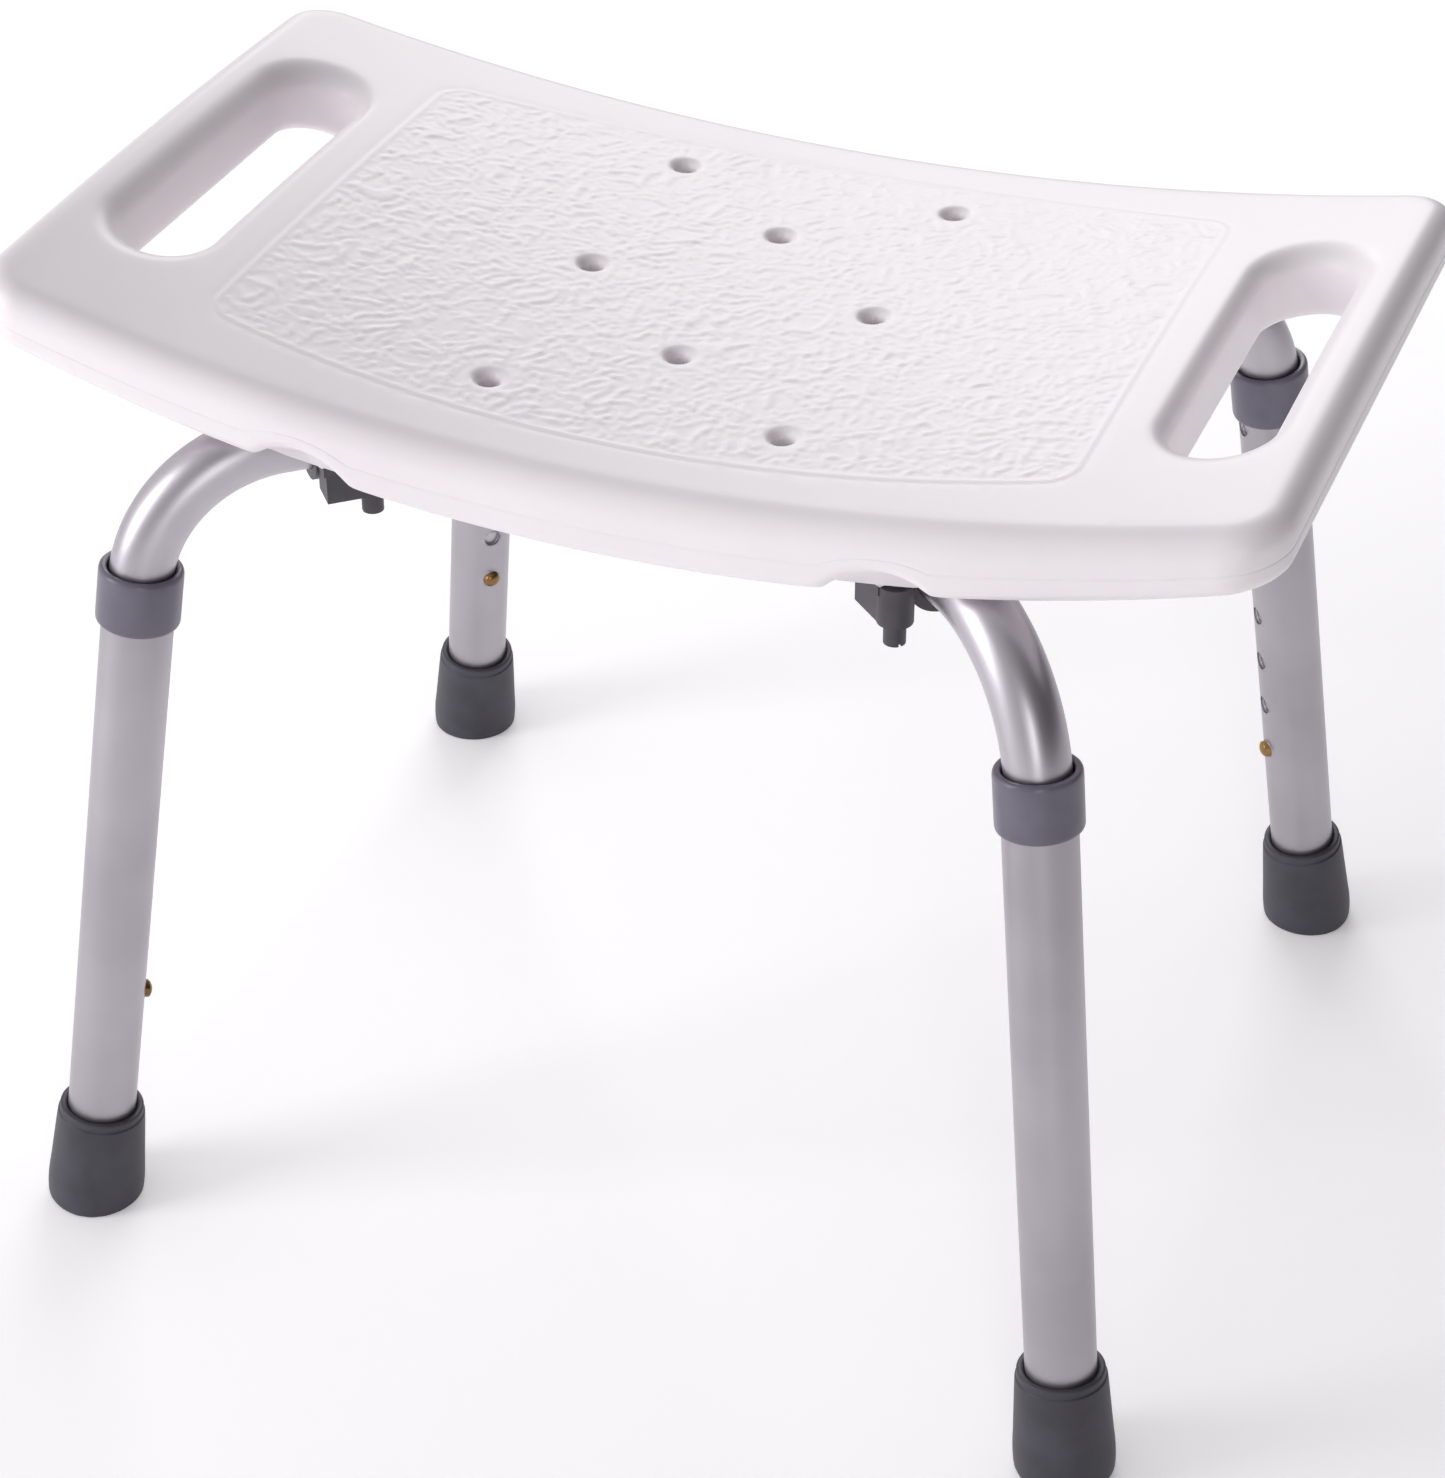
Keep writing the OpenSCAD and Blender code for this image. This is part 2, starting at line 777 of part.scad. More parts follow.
foot_washer(front_right);  // foot_washer_front_right
foot_washer(front_left);  // foot_washer_front_left
foot_washer(back_left);  // foot_washer_back_left
foot_washer(back_right);  // foot_washer_back_right
snap_button(front_right);  // snap_button_front_right
snap_button(front_left);  // snap_button_front_left
snap_button(back_left);  // snap_button_back_left
snap_button(back_right);  // snap_button_back_right
button_spring(front_right);  // button_spring_front_right
button_spring(front_left);  // button_spring_front_left
button_spring(back_left);  // button_spring_back_left
button_spring(back_right);  // button_spring_back_right
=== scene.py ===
"""Looks of the shower stool: moulded seat, bent tubes, drilled legs, collars, rubber feet and snap buttons.

Lengths inside the shape functions are millimetres, turned to metres when a mesh is made.
"""

import json
import math

import bpy
import numpy as np
from mathutils import Matrix, Vector
from mathutils.geometry import delaunay_2d_cdt


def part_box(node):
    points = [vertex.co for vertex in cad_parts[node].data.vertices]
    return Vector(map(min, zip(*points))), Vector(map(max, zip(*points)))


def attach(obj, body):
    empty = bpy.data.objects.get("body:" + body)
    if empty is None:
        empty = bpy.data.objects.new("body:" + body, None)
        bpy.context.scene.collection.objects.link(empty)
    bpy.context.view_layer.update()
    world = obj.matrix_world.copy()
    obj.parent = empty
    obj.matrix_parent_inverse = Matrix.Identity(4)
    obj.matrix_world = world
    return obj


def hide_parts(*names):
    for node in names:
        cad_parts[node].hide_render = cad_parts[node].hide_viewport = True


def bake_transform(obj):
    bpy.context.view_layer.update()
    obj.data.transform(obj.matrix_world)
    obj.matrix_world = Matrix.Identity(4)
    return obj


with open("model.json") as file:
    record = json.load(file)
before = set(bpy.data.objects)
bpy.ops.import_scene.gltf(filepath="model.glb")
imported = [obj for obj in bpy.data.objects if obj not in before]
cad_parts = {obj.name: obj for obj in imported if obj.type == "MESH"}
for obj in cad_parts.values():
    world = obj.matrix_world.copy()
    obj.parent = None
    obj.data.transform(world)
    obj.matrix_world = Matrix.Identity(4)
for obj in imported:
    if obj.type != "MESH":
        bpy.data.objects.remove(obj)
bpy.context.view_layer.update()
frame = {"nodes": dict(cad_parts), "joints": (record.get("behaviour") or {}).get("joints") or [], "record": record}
MM = 0.001
LEGS = ("front_right", "front_left", "back_left", "back_right")
JOINTS = {j["name"]: j for j in frame["joints"]}
MOUNTS = {m["name"]: m for m in frame["record"]["mounts"]}

# ---------- materials ----------


def linear(hex_colour):
    """sRGB hex to a linear RGBA.

    Each channel c becomes c/12.92, or ((c + 0.055) / 1.055) to the power 2.4 above 0.04045.
    """
    c = np.array([int(hex_colour[i : i + 2], 16) for i in (0, 2, 4)]) / 255
    return (*np.where(c <= 0.04045, c / 12.92, ((c + 0.055) / 1.055) ** 2.4), 1.0)


def node(tree, kind, settings=None, **inputs):
    """Adds one shader node. A socket name maps to a value, or to another node's output to link."""
    n = tree.nodes.new(kind)
    for k, v in (settings or {}).items():
        setattr(n, k, v)
    for k, v in inputs.items():
        socket = n.inputs[int(k[1:])] if k[0] == "i" and k[1:].isdigit() else n.inputs[k.replace("_", " ")]
        if isinstance(v, bpy.types.NodeSocket):
            tree.links.new(v, socket)
        else:
            socket.default_value = v
    return n


def material(name, build, **sockets):
    """Principled material; sockets are set on the shader and build(tree) returns its links."""
    m = bpy.data.materials.new(name)
    m.use_nodes = True
    t = m.node_tree
    shader = t.nodes["Principled BSDF"]
    for k, v in sockets.items():
        shader.inputs[k.replace("_", " ")].default_value = v
    place = node(t, "ShaderNodeTexCoord").outputs["Object"]
    for k, v in build(t, place).items():
        t.links.new(v, shader.inputs[k.replace("_", " ")])
    return m


def two_tone(t, place, low, high, scale, detail=3.0):
    """Colour that drifts between two shades over noise of the given scale per metre."""
    n = node(t, "ShaderNodeTexNoise", Vector=place, Scale=scale, Detail=detail)
    ramp = node(t, "ShaderNodeValToRGB", Fac=n.outputs["Fac"])
    ramp.color_ramp.elements[0].position, ramp.color_ramp.elements[1].position = 0.35, 0.65
    ramp.color_ramp.elements[0].color, ramp.color_ramp.elements[1].color = linear(low), linear(high)
    return ramp.outputs["Color"], n.outputs["Fac"]


def rough_between(t, value, low, high):
    return node(t, "ShaderNodeMapRange", Value=value, To_Min=low, To_Max=high).outputs["Result"]


def blown_polyethylene(t, place):
    """Blow-moulded HDPE: milky satin skin, fine spark-eroded grain of about 0.5 mm, faint flow marks."""
    colour, drift = two_tone(t, place, "f1eaee", "f6f0f3", 9.0)
    grain = node(t, "ShaderNodeTexNoise", Vector=place, Scale=1900.0, Detail=2.0)
    bump = node(t, "ShaderNodeBump", Height=grain.outputs["Fac"], Strength=0.12, Distance=0.0002)
    return {
        "Base_Color": colour,
        "Roughness": rough_between(t, drift, 0.36, 0.46),
        "Normal": bump.outputs["Normal"],
    }


def brushed_skin(low, high, rough_low, rough_high, strength):
    """Drawn and anodised aluminium: the noise is stretched along the piece's own V, as the draw lines run."""

    def build(t, place):
        colour, drift = two_tone(t, place, low, high, 14.0)
        uv = node(t, "ShaderNodeUVMap", {"uv_map": "along"}).outputs["UV"]
        lines = node(t, "ShaderNodeMapping", Vector=uv, Scale=(2400.0, 22.0, 1.0))
        streak = node(t, "ShaderNodeTexNoise", Vector=lines.outputs["Vector"], Scale=1.0, Detail=4.0)
        bump = node(t, "ShaderNodeBump", Height=streak.outputs["Fac"], Strength=strength, Distance=0.0001)
        return {
            "Base_Color": colour,
            "Roughness": rough_between(t, streak.outputs["Fac"], rough_low, rough_high),
            "Normal": bump.outputs["Normal"],
        }

    return build


def even_grain(low, high, rough_low, rough_high, per_metre, strength):
    """Skin with a fine even grain: moulded plastic and rubber, and plated or tarnished metal."""

    def build(t, place):
        colour, drift = two_tone(t, place, low, high, 60.0)
        grain = node(t, "ShaderNodeTexNoise", Vector=place, Scale=per_metre, Detail=3.0)
        bump = node(t, "ShaderNodeBump", Height=grain.outputs["Fac"], Strength=strength, Distance=0.0002)
        return {
            "Base_Color": colour,
            "Roughness": rough_between(t, drift, rough_low, rough_high),
            "Normal": bump.outputs["Normal"],
        }

    return build


# Blow-moulded high-density polyethylene: soft satin white that lets a little light in.
SEAT = material(
    "blow_moulded_polyethylene",
    blown_polyethylene,
    IOR=1.54,
    Subsurface_Weight=0.08,
    Subsurface_Scale=0.004,
)
# Anodised aluminium, drawn and matt etched: pale, faintly violet, broad soft highlights.
LEG = material(
    "anodised_aluminium_matt",
    brushed_skin("aca7af", "b8b3ba", rough_low=0.33, rough_high=0.42, strength=0.10),
    Metallic=0.88,
)
# Anodised aluminium with a painted highlight: the same metal as the legs in a lighter colour that stands in for the
# bright light on the bends, with slightly deeper draw lines.
FRAME = material(
    "anodised_aluminium_painted_highlight",
    brushed_skin("b9b4bc", "c8c3ca", rough_low=0.34, rough_high=0.42, strength=0.14),
    Metallic=0.95,
)
# Polypropylene collar: smooth semi-gloss violet grey.
COLLAR = material(
    "moulded_polypropylene_grey",
    even_grain("666272", "6f6b7a", rough_low=0.27, rough_high=0.34, per_metre=900.0, strength=0.05),
    IOR=1.49,
)
# Glass-filled nylon clamps: dark, slightly rough.
CLAMP = material(
    "glass_filled_nylon",
    even_grain("3f3b42", "4a464d", rough_low=0.42, rough_high=0.55, per_metre=1500.0, strength=0.2),
    IOR=1.53,
)
# Compression-moulded natural rubber: dark slate, matt with a dry bloom.
RUBBER = material(
    "compression_moulded_rubber",
    even_grain("37353f", "413f4a", rough_low=0.46, rough_high=0.58, per_metre=1300.0, strength=0.25),
    IOR=1.52,
)
# Drawn brass button, slightly tarnished.
BRASS = material(
    "tarnished_brass",
    even_grain("6f5338", "a17f55", rough_low=0.2, rough_high=0.34, per_metre=700.0, strength=0.05),
    Metallic=1.0,
)
# Zinc-plated steel: bright, even crystals too fine to see.
STEEL = material(
    "zinc_plated_steel",
    even_grain("a9abaf", "b9bbc0", rough_low=0.28, rough_high=0.4, per_metre=1200.0, strength=0.05),
    Metallic=1.0,
)
SLOTS = {
    "seat_plastic": SEAT,
    "frame_tube": FRAME,
    "leg_tube": LEG,
    "collar_plastic": COLLAR,
    "clamp_plastic": CLAMP,
    "foot_rubber": RUBBER,
    "steel": STEEL,
    "spring_steel": STEEL,
    "brass": BRASS,
}

# ---------- mesh making ----------


def make_piece(name, verts_mm, faces, mat, body, replaces, uv=None, flat=False):
    """Makes one mesh from points in millimetres and outward faces, smooth unless it is flat.

    It rides on its body, if it has one, and stands for the nodes in replaces.
    """
    mesh = bpy.data.meshes.new(name)
    mesh.from_pydata((np.asarray(verts_mm) * MM).tolist(), [], [list(f) for f in np.asarray(faces).tolist()])
    if uv is not None:
        layer = mesh.uv_layers.new(name="along")
        corner = np.zeros(len(mesh.loops), np.int32)
        mesh.loops.foreach_get("vertex_index", corner)
        layer.data.foreach_set("uv", (np.asarray(uv) * MM)[corner].astype(np.float32).ravel())
    mesh.validate()
    mesh.polygons.foreach_set("use_smooth", np.full(len(mesh.polygons), not flat))
    mesh.materials.append(mat)
    o = bpy.data.objects.new(name, mesh)
    bpy.context.scene.collection.objects.link(o)
    if body:
        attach(o, body)
    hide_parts(*replaces)
    return o


def grid_faces(rows, columns, start=0, close_rows=False, close_columns=True, turned=False):
    """Quads between neighbours of a rows by columns grid of points, wrapping round where it is closed."""
    i = np.arange(rows if close_rows else rows - 1)
    j = np.arange(columns if close_columns else columns - 1)
    i, j = (a.ravel() for a in np.meshgrid(i, j, indexing="ij"))
    i2, j2 = (i + 1) % rows, (j + 1) % columns
    q = np.stack([i * columns + j, i * columns + j2, i2 * columns + j2, i2 * columns + j], 1) + start
    return q[:, ::-1] if turned else q


def halved(quads):
    """Two triangles from each quad."""
    return np.vstack([quads[:, [0, 1, 2]], quads[:, [0, 2, 3]]])


# points closer than WELD become one, and triangles of less than half of SLIVER are dropped
WELD, SLIVER = 1e-5, 1e-9


def filled(loops, inner, keep):
    """Delaunay triangles, counter-clockwise, over closed loops and inner points in a plane.

    The loops' points come first and in order, then the inner ones. keep(centres) says which triangles stay.
    """
    points = np.vstack([*loops, inner])
    edges, at = [], 0
    for p in loops:
        k = np.arange(len(p))
        edges.append(np.stack([at + k, at + (k + 1) % len(p)], 1))
        at += len(p)
    made = delaunay_2d_cdt(points.tolist(), np.vstack(edges).tolist(), [], 0, WELD)
    source = np.array([given[0] if len(given) else -1 for given in made[3]])
    tris = source[np.array(made[2], np.int64)]
    tris = tris[(tris >= 0).all(1)]
    corner = points[tris]
    area = np.cross(corner[:, 1] - corner[:, 0], corner[:, 2] - corner[:, 0])
    tris = np.where((area < 0)[:, None], tris[:, ::-1], tris)
    return points, tris[keep(corner.mean(1)) & (np.abs(area) > SLIVER)]


def inside_loops(loops, batch=4000):
    """Even-odd test of points against closed loops, taken in batches of points to spare memory."""

    def keep(c):
        inside = np.zeros(len(c), bool)
        for p in loops:
            low, high = p.min(0), p.max(0)
            near = np.flatnonzero(((c >= low) & (c <= high)).all(1))
            q = np.roll(p, -1, 0)
            for part in np.array_split(near, max(1, len(near) // batch)):
                x, y = c[part, 0][:, None], c[part, 1][:, None]
                crosses = (p[:, 1] > y) != (q[:, 1] > y)
                with np.errstate(divide="ignore", invalid="ignore"):
                    at = p[:, 0] + (y - p[:, 1]) / (q[:, 1] - p[:, 1]) * (q[:, 0] - p[:, 0])
                inside[part] ^= (crosses & (x < at)).sum(1) % 2 == 1
        return inside

    return keep


def bandpass_noise(width, depth, step, wavelength, seed, band=0.42):
    """Smooth seeded noise of unit spread: white noise whose spectrum is kept near one wavelength."""
    nx, ny = int(width / step) + 2, int(depth / step) + 2
    white = np.random.default_rng(seed).standard_normal((nx, ny))
    fx, fy = np.meshgrid(np.fft.fftfreq(nx, step), np.fft.fftfreq(ny, step), indexing="ij")
    f = np.hypot(fx, fy) * wavelength
    field = np.fft.ifft2(np.fft.fft2(white) * np.exp(-(((f - 1) / band) ** 2))).real
    return field / field.std()


def sampled(field, x, y, width, depth, step):
    """Bilinear value of a field laid over the middle of the seat."""
    u = np.clip((x + width / 2) / step, 0, field.shape[0] - 1.001)
    v = np.clip((y + depth / 2) / step, 0, field.shape[1] - 1.001)
    i, j = u.astype(int), v.astype(int)
    a, b = u - i, v - j
    return (
        field[i, j] * (1 - a) * (1 - b)
        + field[i + 1, j] * a * (1 - b)
        + field[i, j + 1] * (1 - a) * b
        + field[i + 1, j + 1] * a * b
    )


def soft_max(a, b, k):
    """Larger of two, rounded where they cross over a width of about k."""
    return 0.5 * (a + b + np.sqrt((a - b) ** 2 + k * k))


# ---------- seat ----------

_, seat_high = (np.array(c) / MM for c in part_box("seat"))
# plan: the long edges bow out, and the corners are round
HALF_L, HALF_D = seat_high[0], seat_high[1]
EDGE_BOW, CORNER = 9.0, 24.0
BOW_R = (HALF_L**2 + EDGE_BOW**2) / (2 * EDGE_BOW)
END_POINTS, CORNER_POINTS, EDGE_POINTS = 96, 26, 300
# saddle: height in the middle and radius, above and below, and the fall of the top across its depth
TOP_Z, TOP_R = 384.0, 1086.0
UNDER_Z, UNDER_R = 350.0, 900.0
CROWN, CROWN_REACH = 3.3, 150.0
# outer wall: its two quarter rounds, and the fine groove where the mould halves meet
EDGE_ROLL, UNDER_ROLL = 11.0, 6.0
PARTING_AT, PARTING_BAND, PARTING_WIDE, PARTING_DEEP = 0.52, 0.05, 0.03, 0.28
# handle slots: a lip that is wider round the ends, and a wall that closes in
SLOT_X, SLOT_R, SLOT_Y = 217.0, 19.0, 62.0
SLOT_ROLL, SLOT_END_ROLL, SLOT_DROP = 9.0, 5.0, 10.0
SLOT_UNDER_ROLL, SLOT_DRAFT = 4.0, 1.6
SLOT_END_POINTS, SLOT_SIDE_POINTS = 40, 54
DRAIN_R, DRAIN_ROLL, DRAIN_DROP, DRAIN_DRAFT = 4.0, 4.4, 4.2, 0.4
DRAINS = [(x, y) for x in (-60.0, 60.0) for y in (-98.0, 0.0, 98.0)] + [(0.0, -54.0), (0.0, 54.0)]
# grip panel: outline, creases in two sizes bent by a warp, raised border and the groove outside it
PANEL_L, PANEL_D, PANEL_BOW, PANEL_CORNER = 175.0, 124.0, 15.0, 11.0
WARP, GRIP_LOW = 2.6, 0.12
CREASE_HIGH, CREASE_WIDE = 0.34, 0.30
FINE_HIGH, FINE_WIDE = 0.20, 0.34
BORDER_HIGH, BORDER_WIDE, BORDER_IN = 0.30, 0.75, 1.0
GROOVE_DEEP, GROOVE_WIDE, GROOVE_OUT = 0.16, 0.8, 0.7
FADE_START, FADE_WIDE, DRAIN_FADE = 2.2, 2.5, 3.0
# underside: channels for the tubes, a pocket over the cross bolt, pads for the clamps, finger notches
RAIL_Z, TUBE_R = 352.5, 12.7
CHANNEL_GAP, CHANNEL_END = 0.4, 204.0
BOLT_POCKET_R, BOLT_POCKET_RISE = 8.2, 18.0
CLAMP_AT, CLAMP_HALF = 165.0, (12.0, 30.0)
PAD_Z, PAD_MARGIN, RAMP = RAIL_Z + 1.3, 1.0, 1.5
NOTCH_X, NOTCH_R, NOTCH_RISE, NOTCH_DEPTH = 115.0, 27.0, 9.0, 10.0
NOTCH_SOFT, NOTCH_SKIRT = 1.6, 4.0
# plan direction from the middle to the back right leg
treads = np.array(MOUNTS["foot_tread_back_right"]["pos_m"])[:2]
DIAGONAL = treads / np.hypot(*treads)


def top_height(x, y):
    """Saddle arc along X less a slight crown across Y."""
    return TOP_Z + TOP_R - np.sqrt(TOP_R**2 - x**2) - CROWN * (y / CROWN_REACH) ** 2


def notch_height(x):
    """Rise of the lower edge in a finger notch: a circle's cap with softened corners."""
    dx = np.abs(x) - NOTCH_X
    cap = np.sqrt(np.maximum(NOTCH_R**2 - dx**2, 0)) - (NOTCH_R - NOTCH_RISE)
    return soft_max(cap, 0 * cap, NOTCH_SOFT) * (np.abs(dx) < NOTCH_R + NOTCH_SKIRT)


def under_arc(x):
    return UNDER_Z + UNDER_R - np.sqrt(UNDER_R**2 - x**2)


def panel_inside(x, y):
    """Distance outside the bowed, round-cornered panel: negative inside."""
    qx = np.abs(x) - PANEL_L + PANEL_CORNER
    qy = np.abs(y) - (PANEL_D - PANEL_BOW * (x / PANEL_L) ** 2) + PANEL_CORNER
    return np.hypot(np.maximum(qx, 0), np.maximum(qy, 0)) + np.minimum(np.maximum(qx, qy), 0) - PANEL_CORNER


NOISE = dict(width=360.0, depth=256.0, step=0.8)
COARSE, FINE, WARP_X, WARP_Y = (
    bandpass_noise(wavelength=w, seed=s, **NOISE) for w, s in ((11.0, 3), (7.0, 5), (26.0, 8), (26.0, 9))
)


def relief(x, y):
    """Wrinkled grip: thin raised lines where warped noise crosses zero, with a fine border and a groove round it."""

    def line(noise, a, b, high, wide):
        return high * np.exp(-((sampled(noise, a, b, **NOISE) / wide) ** 2))

    wx = x + WARP * sampled(WARP_X, x, y, **NOISE)
    wy = y + WARP * sampled(WARP_Y, x, y, **NOISE)
    lines = line(COARSE, wx, wy, CREASE_HIGH, CREASE_WIDE) + line(FINE, wy * 1.3, wx * 0.7, FINE_HIGH, FINE_WIDE)
    d = panel_inside(x, y)
    fade = np.clip((-d - FADE_START) / FADE_WIDE, 0, 1)
    for cx, cy in DRAINS:
        fade = fade * np.clip((np.hypot(x - cx, y - cy) - DRAIN_R - DRAIN_ROLL) / DRAIN_FADE, 0, 1)
    border = BORDER_HIGH * np.exp(-(((d + BORDER_IN) / BORDER_WIDE) ** 2))
    groove = GROOVE_DEEP * np.exp(-(((d - GROOVE_OUT) / GROOVE_WIDE) ** 2))
    return fade * (lines - GRIP_LOW) + (border - groove)


def seat_top(x, y):
    return top_height(x, y) + relief(x, y)


def along_across(x, y):
    """Distances along and across the nearer diagonal, from the middle of the seat."""
    c, s = DIAGONAL
    ax, ay = np.abs(x), np.abs(y)
    return ax * c + ay * s, np.abs(ay * c - ax * s)


def under_height(x, y):
    """Underside: saddle arc, flat pads for the clamps, X of round channels for the tubes, and finger notches."""
    z = under_arc(x)
    along, across = along_across(x, y)
    pad = np.clip((CLAMP_HALF[0] + PAD_MARGIN - np.abs(along - CLAMP_AT)) / RAMP, 0, 1)
    pad = pad * np.clip((CLAMP_HALF[1] + PAD_MARGIN - across) / RAMP, 0, 1)
    z = z + pad * np.minimum(PAD_Z - z, 0)
    reach = TUBE_R + CHANNEL_GAP
    roof = RAIL_Z + np.sqrt(np.maximum(reach**2 - across**2, 0))
    z = np.where((across < reach) & (along < CHANNEL_END), np.maximum(z, roof), z)
    z = np.where(np.hypot(x, y) < BOLT_POCKET_R, np.maximum(z, RAIL_Z + BOLT_POCKET_RISE), z)
    edge = HALF_D - EDGE_BOW * (x / HALF_L) ** 2
    near = np.clip((np.abs(y) - (edge - NOTCH_DEPTH)) / RAMP, 0, 1)
    return z + near * notch_height(x)


def seat_outline():
    """Plan outline, counter-clockwise, and its outward normals: straight ends, bowed long edges, round corners."""
    rb, rc = BOW_R, CORNER
    xc = HALF_L - rc
    yc = math.sqrt((rb - rc) ** 2 - xc**2) - (rb - HALF_D)
    bow = math.atan2(xc, rb - rc)
    end = np.linspace(-yc, yc, END_POINTS, endpoint=False)
    corner = np.linspace(0, math.pi / 2 - bow, CORNER_POINTS, endpoint=False)
    edge = np.linspace(bow, -bow, EDGE_POINTS, endpoint=False)
    right = np.stack([np.full_like(end, HALF_L), end], 1), np.stack([np.ones_like(end), 0 * end], 1)
    n1 = np.stack([np.cos(corner), np.sin(corner)], 1)
    n2 = np.stack([np.sin(edge), np.cos(edge)], 1)
    n3 = np.stack([-np.cos(corner[::-1] + corner[1]), np.sin(corner[::-1] + corner[1])], 1)
    half = [
        right,
        ([xc, yc] + rc * n1, n1),
        ([0, HALF_D - rb] + rb * n2, n2),
        ([-xc, yc] + rc * n3, n3),
    ]
    p = np.vstack([h[0] for h in half])
    n = np.vstack([h[1] for h in half])
    return np.vstack([p, -p]), np.vstack([n, -n])


def stadium(cx):
    """Long round-ended loop, counter-clockwise, and its outward normals."""
    a = np.linspace(0, math.pi, SLOT_END_POINTS, endpoint=False)
    y = np.linspace(-SLOT_Y, SLOT_Y, SLOT_SIDE_POINTS, endpoint=False)
    n = np.vstack([np.stack([np.ones_like(y), 0 * y], 1), np.stack([np.cos(a), np.sin(a)], 1)])
    p = np.vstack([np.stack([np.full_like(y, SLOT_R), y], 1), [0, SLOT_Y] + SLOT_R * n[len(y) :]])
    return np.vstack([p, -p]) + [cx, 0], np.vstack([n, -n])


def ring(cx, cy, r, count=44):
    """Circle, counter-clockwise, and its outward normals."""
    a = np.arange(count) * 2 * math.pi / count
    n = np.stack([np.cos(a), np.sin(a)], 1)
    return [cx, cy] + r * n, n


def hole_rows(p, n, roll, drop, under_roll, draft, walls=6, steps=9, under_steps=5):
    """Wall of a hole through the seat, as rows from the top sheet down to the underside.

    The lip is a quarter ellipse, roll wide and drop deep. The wall under it closes in by draft and ends in a
    small quarter round.
    """
    rows = []
    for q in np.linspace(0, math.pi / 2, steps):
        xy = p + n * (roll * (1 - math.sin(q)))[:, None]
        rows.append(np.column_stack([xy, seat_top(*xy.T) - drop * (1 - math.cos(q))]))
    low = p - n * draft
    bottom = under_height(*(low + n * under_roll).T) + under_roll
    for f in np.linspace(0, 1, walls + 1)[1:]:
        xy = p - n * (draft * f)
        rows.append(np.column_stack([xy, rows[steps - 1][:, 2] * (1 - f) + bottom * f]))
    if under_roll:
        for q in np.linspace(0, math.pi / 2, under_steps)[1:]:
            xy = low + n * (under_roll * (1 - math.cos(q)))
            rows.append(np.column_stack([xy, bottom - under_roll * math.sin(q)]))
    return rows


def edge_rows(p, n, steps=11, walls=8, groove_rows=5, under_steps=7):
    """Outer wall as rows from the top sheet down.

    A quarter round, an upright wall with a fine groove at the parting line, and a smaller quarter round.
    """
    rows = []
    for q in np.linspace(0, math.pi / 2, steps):
        xy = p - n * (EDGE_ROLL * (1 - math.sin(q)))
        rows.append(np.column_stack([xy, seat_top(*xy.T) - EDGE_ROLL * (1 - math.cos(q))]))
    bottom = under_height(*(p - n * UNDER_ROLL).T) + UNDER_ROLL
    top = rows[-1][:, 2]
    by_groove = PARTING_AT + PARTING_BAND * np.linspace(-1, 1, groove_rows)
    for f in np.unique(np.concatenate([np.linspace(0, 1, walls)[1:], by_groove])):
        groove = PARTING_DEEP * math.exp(-(((f - PARTING_AT) / PARTING_WIDE) ** 2))
        rows.append(np.column_stack([p - n * groove, top * (1 - f) + bottom * f]))
    for q in np.linspace(0, math.pi / 2, under_steps)[1:]:
        xy = p - n * (UNDER_ROLL * (1 - math.cos(q)))
        rows.append(np.column_stack([xy, bottom - UNDER_ROLL * math.sin(q)]))
    return rows


def inside_outline(x, y, inset):
    """True within the seat's plan drawn in by inset."""
    xc = HALF_L - CORNER
    edge = HALF_D - inset - x**2 / (2 * BOW_R)
    yc = HALF_D - CORNER - xc**2 / (2 * BOW_R)
    corner = np.hypot(np.abs(x) - xc, np.abs(y) - yc) < CORNER - inset
    square = (np.abs(x) < HALF_L - inset) & (np.abs(y) < edge)
    return square & ~((np.abs(x) > xc) & (np.abs(y) > yc) & ~corner)


def clear_of_holes(x, y, slot_lip, drain_r, margin):
    """True further than margin outside every slot, widened by its lip, and every drain hole of radius drain_r."""
    ok = np.ones(len(x), bool)
    for cx in (-SLOT_X, SLOT_X):
        from_slot = np.hypot(x - cx, np.maximum(np.abs(y) - SLOT_Y, 0))
        ok &= from_slot > SLOT_R + slot_lip + margin
    for cx, cy in DRAINS:
        ok &= np.hypot(x - cx, y - cy) > drain_r + margin
    return ok


def lattice(half_x, half_y, step):
    """Points of a triangular lattice, every other row shifted by half a step."""
    x, y = np.meshgrid(np.arange(-half_x, half_x, step), np.arange(-half_y, half_y, step * 0.87), indexing="ij")
    shift = (np.arange(x.shape[1]) % 2) * step / 2
    return np.column_stack([(x + shift).ravel(), y.ravel()])


def seat_walls():
    """Rows of the outer wall, of the handle slots and of the drain holes."""
    walls = [edge_rows(*seat_outline())]
    for cx in (-SLOT_X, SLOT_X):
        p, n = stadium(cx)
        roll = SLOT_ROLL + SLOT_END_ROLL * np.abs(n[:, 1]) ** 2
        walls.append(hole_rows(p, n, roll, SLOT_DROP, SLOT_UNDER_ROLL, SLOT_DRAFT, steps=12))
    for cx, cy in DRAINS:
        p, n = ring(cx, cy, DRAIN_R)
        roll = np.full(len(p), DRAIN_ROLL)
        walls.append(hole_rows(p, n, roll, DRAIN_DROP, 0.0, DRAIN_DRAFT, walls=4))
    return walls


